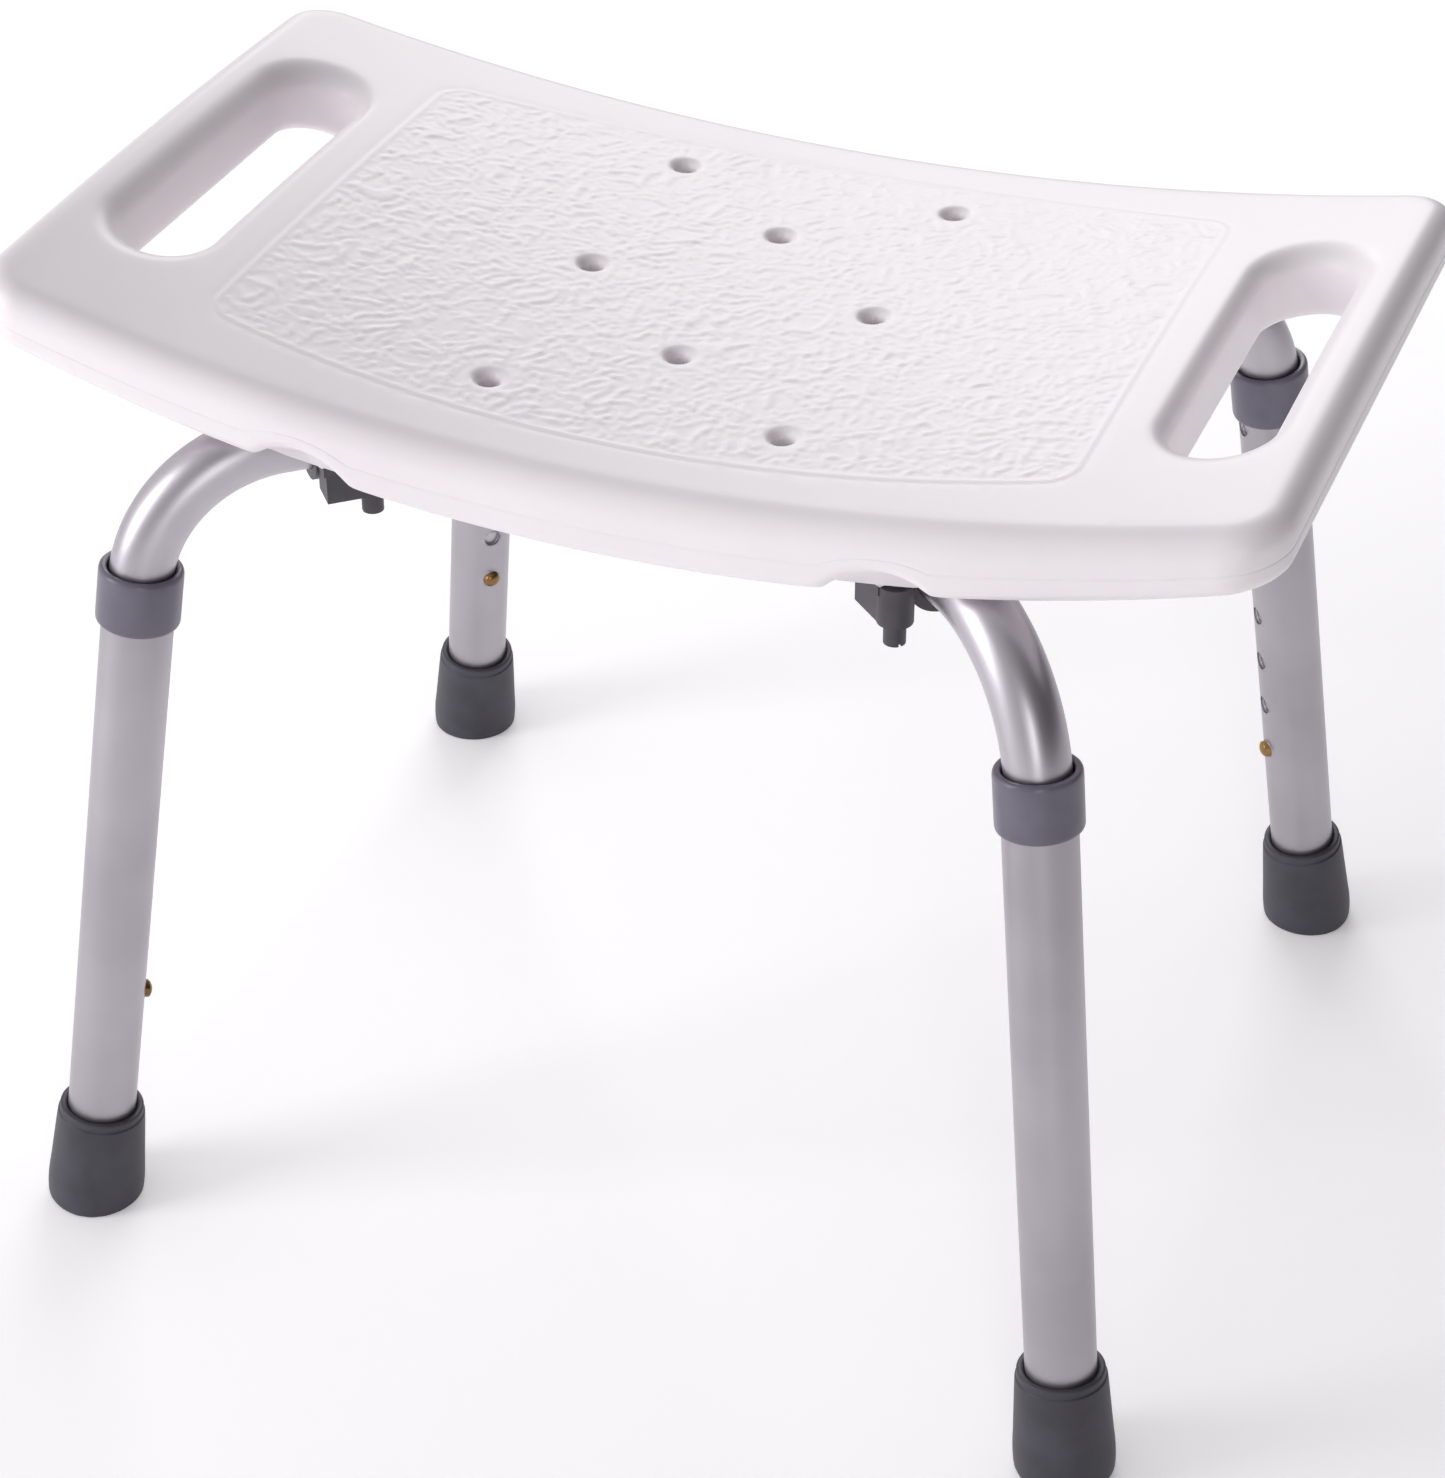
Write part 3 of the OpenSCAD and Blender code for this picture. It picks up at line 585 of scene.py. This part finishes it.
def top_sheet(walls, fine_step=1.53, coarse_step=4.2):
    """Plan points and triangles of the top: fine in the grip panel and coarse round it."""
    loops = [rows[0][:, :2] for rows in walls]
    fine = lattice(178, 127, fine_step)
    fine = fine[panel_inside(*fine.T) < 2.6]
    coarse = lattice(255, 150, coarse_step)
    coarse = coarse[panel_inside(*coarse.T) > 4.0]
    inner = np.vstack([fine, coarse])
    x, y = inner.T
    slot_lip = SLOT_ROLL + SLOT_END_ROLL * np.clip((np.abs(y) - SLOT_Y) / SLOT_R, 0, 1) ** 2
    clear = clear_of_holes(x, y, slot_lip, DRAIN_R + DRAIN_ROLL, margin=0.9)
    inner = inner[inside_outline(x, y, EDGE_ROLL + 1.5) & clear]
    return filled(loops, inner, inside_loops(loops))


def low_sheet(walls, fine_step=2.0, coarse_step=4.4):
    """Plan points and triangles of the underside: fine by the channels, pads and notches and coarse elsewhere."""

    def by_detail(p):
        ax, ay = np.abs(p).T
        along, across = along_across(ax, ay)
        channel = (across < 16) & (along < CHANNEL_END + 6)
        pad = (np.abs(along - CLAMP_AT) < CLAMP_HALF[0] + 3) & (across < CLAMP_HALF[1] + 3)
        notch = (np.abs(ax - NOTCH_X) < NOTCH_R + 3) & (ay > 118)
        return channel | pad | notch

    loops = [rows[-1][:, :2] for rows in walls]
    coarse = lattice(255, 150, coarse_step)
    fine = lattice(180, 160, fine_step)
    inner = np.vstack([fine[by_detail(fine)], coarse[~by_detail(coarse)]])
    x, y = inner.T
    clear = clear_of_holes(x, y, SLOT_UNDER_ROLL - SLOT_DRAFT, DRAIN_R - DRAIN_DRAFT, margin=1.0)
    inner = inner[inside_outline(x, y, UNDER_ROLL + 1.0) & clear]
    return filled(loops, inner, inside_loops(loops))


def build_seat():
    """One closed skin: relief sheet on top, rolled walls round the outside and every hole, channelled sheet below."""
    walls = seat_walls()
    verts, quads, tris, top_at, low_at, at = [], [], [], [], [], 0
    for k, rows in enumerate(walls):
        columns = len(rows[0])
        verts.append(np.vstack(rows))
        quads.append(grid_faces(len(rows), columns, at, turned=k == 0))
        top_at.append(at + np.arange(columns))
        low_at.append(at + (len(rows) - 1) * columns + np.arange(columns))
        at += len(rows) * columns
    for (points, found), shared, height, face_down in (
        (top_sheet(walls), np.concatenate(top_at), seat_top, False),
        (low_sheet(walls), np.concatenate(low_at), under_height, True),
    ):
        own = points[len(shared) :]
        verts.append(np.column_stack([own, height(*own.T)]))
        index = np.concatenate([shared, at + np.arange(len(own))])
        t = index[found]
        tris.append(t[:, ::-1] if face_down else t)
        at += len(own)
    faces = np.vstack([halved(np.vstack(quads)), *tris])
    return make_piece("seat_shell", np.vstack(verts), faces, SEAT, "base", ["seat"])


build_seat()

# ---------- turned and swept pieces ----------

SPLAY = math.acos(-JOINTS["leg_front_right_height"]["axis"][2])
LEG_R, FRAME_WALL, LEG_BORE = 14.3, 1.4, 12.78
FIRST_HOLE, HOLE_PITCH, HOLE_COUNT, HOLE_R = 105.5, 25.4, 8, 4.1
LEG_BASE, LEG_TOP = 6.2, 303.4
# collar and foot are pressed over the leg with PRESS_GAP all round
PRESS_GAP = 0.12
COLLAR_BASE, COLLAR_H, COLLAR_R, COLLAR_LIP = 287.6, 24.0, 16.7, 8.0
LIP_GAP = 0.7
FOOT_H, FOOT_R, FOOT_MOUTH, FOOT_FLOOR = 47.0, 20.5, 17.8, 4.6
# the foot is turned to FOOT_SUNK below the floor and flattened afterwards, and AXIS_R is left open for its caps
FOOT_SUNK, AXIS_R = 3.0, 0.4
BEND_R, DIP_R, DIP_DROP, DIP_FLAT, DIP_SWEEP = 60.0, 60.0, 27.0, 12.0, math.radians(29.14)
TUBE_END = FIRST_HOLE - 21.0
STRAIGHT_ROWS, BEND_ROWS, RAIL_ROWS, SHORT_RAIL_ROWS, DIP_ROWS, LEVEL_ROWS = 30, 40, 40, 24, 14, 6
BUTTON_TIP, BUTTON_R, BUTTON_BASE = 17.6, 3.8, 9.65
DOME_R, DOME_SWEEP, FLANGE_R, FLANGE_H = 5.2, math.radians(46.9), 4.6, 0.5
SPRING_R, SPRING_THICK, SPRING_WIDE = 9.6, 0.7, 9.0
SPRING_BELOW, SPRING_ABOVE, SPRING_TOUCH = 11.0, 26.0, 8.8
ARM_ROWS, TURN_ROWS = 12, 25
ROUND = 96


def leg_frame(leg):
    """Rotation whose columns are the leg's outward, sideways and up directions, and its axis's spot on the floor."""
    spot = np.array(MOUNTS[f"foot_tread_{leg}"]["pos_m"]) / MM
    c, s = spot[:2] / np.hypot(*spot[:2])
    up = -np.array(JOINTS[f"leg_{leg}_height"]["axis"])
    side = np.array([-s, c, 0.0])
    return np.stack([np.cross(side, up), side, up], 1), spot


def on_leg(leg, points):
    """Points given outward, sideways and up from the leg's spot on the floor, put in the stool's frame."""
    turn, spot = leg_frame(leg)
    return np.asarray(points) @ turn.T + spot


def turned(profile, count=ROUND):
    """Surface of revolution: a closed profile of (radius, height) carried round Z."""
    a = np.arange(count) * 2 * math.pi / count
    r, z = np.asarray(profile).T
    v = np.stack([r[:, None] * np.cos(a), r[:, None] * np.sin(a), z[:, None] + 0 * a], 2).reshape(-1, 3)
    return v, grid_faces(len(r), count, close_rows=True)


def rounded(corners, radii, steps=7):
    """Closed profile through corners, each replaced by a quadratic arc of its own size."""
    corners, out = np.asarray(corners, float), []
    for k, (p, r) in enumerate(zip(corners, radii)):
        a, b = corners[k - 1] - p, corners[(k + 1) % len(corners)] - p
        if r == 0:
            out.append(p[None])
            continue
        s = p + a / np.hypot(*a) * min(r, np.hypot(*a) * 0.49)
        e = p + b / np.hypot(*b) * min(r, np.hypot(*b) * 0.49)
        t = np.linspace(0, 1, steps)[:, None]
        out.append((1 - t) ** 2 * s + 2 * t * (1 - t) * p + t * t * e)
    return np.vstack(out)


def sweep(path, outer, inner, count=64):
    """Hollow tube: a circle carried along a path that lies in an upright plane, with its inner wall and end rings."""
    tangent = np.gradient(path, axis=0)
    tangent /= np.linalg.norm(tangent, axis=1)[:, None]
    across = np.cross(tangent[0], tangent[len(tangent) // 4])
    across /= np.linalg.norm(across)
    normal = np.cross(across[None], tangent)
    a = np.arange(count) * 2 * math.pi / count
    around = np.cos(a)[None, :, None] * normal[:, None] + np.sin(a)[None, :, None] * across
    rings = np.vstack([path[:, None] + outer * around, (path[:, None] + inner * around)[::-1]])
    length = np.concatenate([[0], np.cumsum(np.linalg.norm(np.diff(path, axis=0), axis=1))])
    length = np.concatenate([length, length[::-1]])
    uv = np.stack(np.broadcast_arrays(outer * a[None], length[:, None]), 2).reshape(-1, 2)
    return rings.reshape(-1, 3), grid_faces(len(rings), count, close_rows=True), uv


def tube_path(leg, dipped):
    """Centre line of a frame tube, from one leg's inner end to the other's.

    Half of it goes up the leg, round the bend and along the rail, and down to its middle on the dipped tube.
    """
    _, spot = leg_frame(leg)
    reach = np.hypot(*spot[:2])
    out = spot[:2] / reach
    knee_s = RAIL_Z / math.cos(SPLAY)
    knee_r = reach - knee_s * math.sin(SPLAY)
    angle = math.pi / 2 - SPLAY
    back = BEND_R * math.tan(angle / 2)
    centre = np.array([knee_r - back, RAIL_Z - BEND_R])
    s = np.linspace(TUBE_END, knee_s - back, STRAIGHT_ROWS, endpoint=False)
    straight = np.stack([reach - s * math.sin(SPLAY), s * math.cos(SPLAY)], 1)
    q = np.linspace(SPLAY, math.pi / 2, BEND_ROWS, endpoint=False)
    bend = centre + BEND_R * np.stack([np.cos(q), np.sin(q)], 1)
    if not dipped:
        rail = np.stack([np.linspace(centre[0], 0, RAIL_ROWS), np.full(RAIL_ROWS, RAIL_Z)], 1)
        flat = np.vstack([straight, bend, rail])
    else:
        slope = (DIP_DROP - 2 * DIP_R * (1 - math.cos(DIP_SWEEP))) / math.sin(DIP_SWEEP)
        start = DIP_FLAT + 2 * DIP_R * math.sin(DIP_SWEEP) + slope * math.cos(DIP_SWEEP)
        rail_x = np.linspace(centre[0], start, SHORT_RAIL_ROWS, endpoint=False)
        rail = np.stack([rail_x, np.full(SHORT_RAIL_ROWS, RAIL_Z)], 1)
        t = np.linspace(0, DIP_SWEEP, DIP_ROWS)
        low = RAIL_Z - DIP_DROP
        first = np.stack([start - DIP_R * np.sin(t), RAIL_Z - DIP_R * (1 - np.cos(t))], 1)
        second = np.stack([DIP_FLAT + DIP_R * np.sin(t), low + DIP_R * (1 - np.cos(t))], 1)[::-1]
        level_x = np.linspace(DIP_FLAT, 0, LEVEL_ROWS)[1:]
        level = np.stack([level_x, np.full(LEVEL_ROWS - 1, low)], 1)
        flat = np.vstack([straight, bend, rail, first, second, level])
    half = np.column_stack([flat[:, :1] * out, flat[:, 1]])
    return np.vstack([half, half[-2::-1] * [-1, -1, 1]])


for leg, dipped in (("front_right", False), ("front_left", True)):
    verts, faces, uv = sweep(tube_path(leg, dipped), TUBE_R, TUBE_R - FRAME_WALL)
    make_piece(f"bent_tube_{leg}", verts, faces, FRAME, "base", [f"frame_tube_{leg}"], uv)


def drilled_tube(outer, inner, low, high, holes, hole_r, columns=72, rows=40, hole_points=28):
    """Tube with a row of round holes: a flat strip with loops cut out is rolled into both walls, and rims join them.

    The strip runs once round, from one side of the tube to the same side again, and the holes sit at its middle.
    Within NEAR of the middle its lattice is finer.
    """
    NEAR = 9.0
    half = math.pi * outer
    u = np.linspace(-half, half, columns + 1)
    v = np.linspace(low, high, rows + 1)
    frame_loop = np.vstack(
        [
            np.column_stack([u[:-1], np.full(columns, low)]),
            np.column_stack([np.full(rows, half), v[:-1]]),
            np.column_stack([u[:0:-1], np.full(columns, high)]),
            np.column_stack([np.full(rows, -half), v[:0:-1]]),
        ]
    )
    loops = [frame_loop] + [ring(0.0, z, hole_r, hole_points)[0] for z in holes]
    wide = np.stack(np.meshgrid(u[1:-1], v[1:-1], indexing="ij"), 2).reshape(-1, 2)
    fine_u, fine_v = np.linspace(-NEAR, NEAR, 13), np.arange(low + 2, high - 2, 2.0)
    close = np.stack(np.meshgrid(fine_u, fine_v, indexing="ij"), 2).reshape(-1, 2)
    inner_points = np.vstack([wide[np.abs(wide[:, 0]) > NEAR + 0.8], close])
    for z in holes:
        inner_points = inner_points[np.hypot(inner_points[:, 0], inner_points[:, 1] - z) > hole_r + 0.5]

    def outside_holes(c):
        ok = np.ones(len(c), bool)
        for z in holes:
            ok &= np.hypot(c[:, 0], c[:, 1] - z) > hole_r * 0.985
        return ok

    points, tris = filled(loops, inner_points, outside_holes)
    angle = math.pi + points[:, 0] / outer
    wall = lambda r: np.column_stack([r * np.cos(angle), r * np.sin(angle), points[:, 1]])
    n = len(points)
    at = len(frame_loop)
    rims = []
    for p in loops[1:]:
        k = at + np.arange(len(p))
        j = np.roll(k, -1)
        rims.append(np.stack([j, k, k + n, j + n], 1))
        at += len(p)
    lower = np.arange(columns + 1)
    upper = np.arange(columns + rows, 2 * columns + rows + 1)
    for edge in (lower, upper):
        rims.append(np.stack([edge[1:], edge[:-1], edge[:-1] + n, edge[1:] + n], 1))
    faces = np.vstack([tris, tris[:, ::-1] + n, halved(np.vstack(rims))])
    verts = np.vstack([wall(outer), wall(inner)])
    # the strip's two long edges lie on each other, so they become one
    _, first, same = np.unique(np.round(verts, 4), axis=0, return_index=True, return_inverse=True)
    faces = same.ravel()[faces]
    faces = faces[(faces[:, 0] != faces[:, 1]) & (faces[:, 1] != faces[:, 2]) & (faces[:, 0] != faces[:, 2])]
    return verts[first], faces, np.vstack([points, points])[first]


def foot_profile():
    """Rubber foot: wide tread with a round edge, gentle flare, a waist line below its lip, and the leg's socket."""
    sock = LEG_R + PRESS_GAP
    corner_and_radius = [
        ((AXIS_R, -FOOT_SUNK), 0),
        ((FOOT_R - 0.8, -FOOT_SUNK), 4.5),
        ((FOOT_R, 3.0), 3.0),
        ((FOOT_R, 10.0), 3.5),
        ((FOOT_R - 0.5, 16.0), 8),
        ((FOOT_MOUTH + 0.95, FOOT_H - 9.0), 3.0),
        ((FOOT_MOUTH + 0.55, FOOT_H - 3.9), 0.5),
        ((FOOT_MOUTH - 0.05, FOOT_H - 3.5), 0.5),
        ((FOOT_MOUTH - 0.2, FOOT_H), 1.2),
        ((sock + 1.0, FOOT_H), 0.8),
        ((sock, FOOT_H - 1.1), 0.6),
        ((sock, FOOT_FLOOR), 0.5),
        ((AXIS_R, FOOT_FLOOR), 0),
    ]
    return rounded(*zip(*corner_and_radius))


def flattened(world, up):
    """Points below the floor slide up along the leg's axis to the floor, which makes the tread flat."""
    lift = np.maximum(-world[:, 2], 0) / up[2]
    return world + lift[:, None] * up


def make_leg_tube(leg):
    """Lower leg with its row of height holes."""
    holes = FIRST_HOLE + HOLE_PITCH * np.arange(HOLE_COUNT)
    verts, faces, uv = drilled_tube(LEG_R, LEG_BORE, LEG_BASE, LEG_TOP, holes, HOLE_R)
    verts = on_leg(leg, verts)
    make_piece(f"drilled_leg_{leg}", verts, faces, LEG, f"leg_{leg}", [f"leg_tube_{leg}"], uv)


def make_collar(leg):
    """Ring over the leg's top, with a lip that closes in on the frame tube."""
    sock, lip = LEG_R + PRESS_GAP, TUBE_R + LIP_GAP
    top = COLLAR_BASE + COLLAR_H
    step = top - COLLAR_LIP
    corners = [(sock, COLLAR_BASE), (COLLAR_R, COLLAR_BASE), (COLLAR_R, top), (lip, top), (lip, step), (sock, step)]
    verts, faces = turned(rounded(corners, [0.4, 2.0, 2.6, 1.3, 0, 0]))
    verts = on_leg(leg, verts)
    make_piece(f"top_collar_{leg}", verts, faces, COLLAR, f"leg_{leg}", [f"collar_{leg}"])


def make_foot(leg):
    """Turned foot whose profile is left open at the axis, closed there by a fan below and a fan above."""
    profile = foot_profile()
    verts, quads = turned(profile)
    verts = flattened(on_leg(leg, verts), leg_frame(leg)[0][:, 2])
    last = (len(profile) - 1) * ROUND
    below, above = len(verts), len(verts) + 1
    verts = np.vstack([verts, verts[:ROUND].mean(0), verts[last:].mean(0)])
    k = np.arange(ROUND)
    ahead = np.roll(k, -1)
    fans = np.vstack(
        [
            np.stack([np.full(ROUND, below), ahead, k], 1),
            np.stack([np.full(ROUND, above), last + k, last + ahead], 1),
        ]
    )
    tris = np.vstack([halved(quads[:last]), fans])
    make_piece(f"rubber_foot_{leg}", verts, tris, RUBBER, f"leg_{leg}", [f"foot_{leg}"])


def make_button(leg):
    """Domed button, turned round an axis that points from the tube to the middle of the stool."""
    q = np.linspace(0, DOME_SWEEP, 9)
    cap = np.stack([DOME_R * np.sin(q), BUTTON_TIP - DOME_R + DOME_R * np.cos(q)], 1)[1:]
    skirt = [(BUTTON_R, BUTTON_BASE + 0.55), (FLANGE_R, BUTTON_BASE + FLANGE_H), (FLANGE_R, BUTTON_BASE)]
    profile = np.vstack([[(0.15, BUTTON_TIP)], cap, skirt, [(0.15, BUTTON_BASE)]])
    verts, faces = turned(profile, 48)
    lie = on_leg(leg, np.stack([-verts[:, 2], verts[:, 1], verts[:, 0] + FIRST_HOLE], 1))
    body, stands_for = f"button_{leg}", [f"snap_button_{leg}"]
    make_piece(f"domed_button_{leg}", lie, faces[:, ::-1], BRASS, body, stands_for)


def make_spring(leg):
    """U-shaped strip: a thin rectangle carried up one arm, round the turn and down the other."""
    low, high = FIRST_HOLE - SPRING_BELOW, FIRST_HOLE + SPRING_ABOVE
    q = np.linspace(0, math.pi, TURN_ROWS)
    arm = np.linspace(low, high, ARM_ROWS, endpoint=False)
    line = np.vstack(
        [
            np.column_stack([np.ones(ARM_ROWS), 0 * arm, arm]),
            np.column_stack([np.cos(q), np.sin(q), np.full(TURN_ROWS, high)]),
            np.column_stack([-np.ones(ARM_ROWS), 0 * arm, arm[::-1]]),
        ]
    )
    n, inner_r, half_wide = len(line), SPRING_R - SPRING_THICK, SPRING_WIDE / 2
    section = [(SPRING_R, -half_wide), (SPRING_R, half_wide), (inner_r, half_wide), (inner_r, -half_wide)]
    edges = [np.column_stack([line[:, 0] * r, np.full(n, w), line[:, 2] + line[:, 1] * r]) for r, w in section]
    strip = on_leg(leg, np.stack(edges, 1).reshape(-1, 3))
    faces = np.vstack([grid_faces(n, 4), [[3, 2, 1, 0]], [[4 * n - 4, 4 * n - 3, 4 * n - 2, 4 * n - 1]]])
    name, stands_for = f"strip_spring_{leg}", [f"button_spring_{leg}"]
    spring = make_piece(name, strip, faces, STEEL, None, stands_for, flat=True)
    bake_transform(spring)


for leg in LEGS:
    make_leg_tube(leg)
    make_collar(leg)
    make_foot(leg)
    make_button(leg)
    make_spring(leg)

# the nodes that keep their CAD meshes take their slot's material
node_slots = {s["node"]: s["material_slot"] for s in frame["record"]["subparts"]}
for name, o in frame["nodes"].items():
    o.data.materials.clear()
    o.data.materials.append(SLOTS[node_slots[name]])

# ---------- stage, light and camera ----------

FLOOR_SIZE, FLOOR_DROP = 40, 0.0003
PAPER_ROUGH, PAPER_GLOW = 0.9, 0.22

bpy.ops.mesh.primitive_plane_add(size=FLOOR_SIZE, location=(0, 0, -FLOOR_DROP))
floor = bpy.context.object
floor.name = "floor"
paper = bpy.data.materials.new("white_paper_backdrop")
paper.use_nodes = True
sheet = paper.node_tree.nodes["Principled BSDF"].inputs
sheet["Base Color"].default_value = linear("fbfafb")
sheet["Roughness"].default_value = PAPER_ROUGH
sheet["Emission Color"].default_value = linear("fbfafb")
sheet["Emission Strength"].default_value = PAPER_GLOW
floor.data.materials.append(paper)

world = bpy.data.worlds.new("soft_room")
bpy.context.scene.world = world
world.use_nodes = True
room = world.node_tree
room.nodes["Background"].inputs["Color"].default_value = linear("f6f5f7")
# the room is bright on the left and falls off to the right, which gives the round metal its shading
LEFT_BRIGHT, RIGHT_BRIGHT = 0.92, 0.07
toward = node(room, "ShaderNodeTexCoord").outputs["Generated"]
sideways = node(room, "ShaderNodeSeparateXYZ", Vector=toward).outputs["X"]
falloff = node(
    room,
    "ShaderNodeMapRange",
    Value=sideways,
    From_Min=-0.9,
    From_Max=0.8,
    To_Min=LEFT_BRIGHT,
    To_Max=RIGHT_BRIGHT,
)
# seen directly it is evenly pale
seen = node(room, "ShaderNodeLightPath").outputs["Is Camera Ray"]
strength = node(room, "ShaderNodeMath", {"operation": "MAXIMUM"}, i0=falloff.outputs["Result"], i1=seen)
room.links.new(strength.outputs["Value"], room.nodes["Background"].inputs["Strength"])


def softbox(name, place, target, size, power):
    """Rectangular area light that faces a point, with its size in metres and its power in watts."""
    lamp = bpy.data.lights.new(name, "AREA")
    lamp.shape, lamp.size, lamp.size_y, lamp.energy = "RECTANGLE", size[0], size[1], power
    o = bpy.data.objects.new(name, lamp)
    bpy.context.scene.collection.objects.link(o)
    o.location = place
    o.rotation_euler = (Vector(target) - Vector(place)).to_track_quat("-Z", "Y").to_euler()
    return o


softbox("left_softbox", place=(-1.5, -1.1, 0.9), target=(0, 0, 0.2), size=(0.7, 1.3), power=13)
softbox("back_softbox", place=(-0.5, 1.5, 1.1), target=(0, 0, 0.35), size=(1.1, 0.5), power=10.5)
softbox("front_softbox", place=(0.9, -2.0, 0.8), target=(0, 0, 0.25), size=(0.5, 1.2), power=7)

scene = bpy.context.scene
scene.view_settings.view_transform = "Standard"

AZIMUTH, ELEVATION, ROLL = (math.radians(a) for a in (21.17, 34.92, 0.32))
TARGET, DISTANCE = Vector((0.019, -0.008, 0.1795)), 1.537
LENS_MM, SENSOR_MM, SHIFT_X, SHIFT_Y = 88.05, 36.0, -0.0294, -0.0014
level = math.cos(ELEVATION)
back = Vector((math.sin(AZIMUTH) * level, -math.cos(AZIMUTH) * level, math.sin(ELEVATION)))
right = (-back).cross(Vector((0, 0, 1))).normalized()
upward = right.cross(-back)
cam_x = math.cos(ROLL) * right + math.sin(ROLL) * upward
cam_y = -math.sin(ROLL) * right + math.cos(ROLL) * upward
camera = bpy.data.objects.new("camera", bpy.data.cameras.new("camera"))
scene.collection.objects.link(camera)
camera.data.lens, camera.data.sensor_width = LENS_MM, SENSOR_MM
camera.data.shift_x, camera.data.shift_y = SHIFT_X, SHIFT_Y
facing = Matrix((cam_x, cam_y, back)).transposed().to_4x4()
camera.matrix_world = Matrix.Translation(TARGET + back * DISTANCE) @ facing
scene.camera = camera
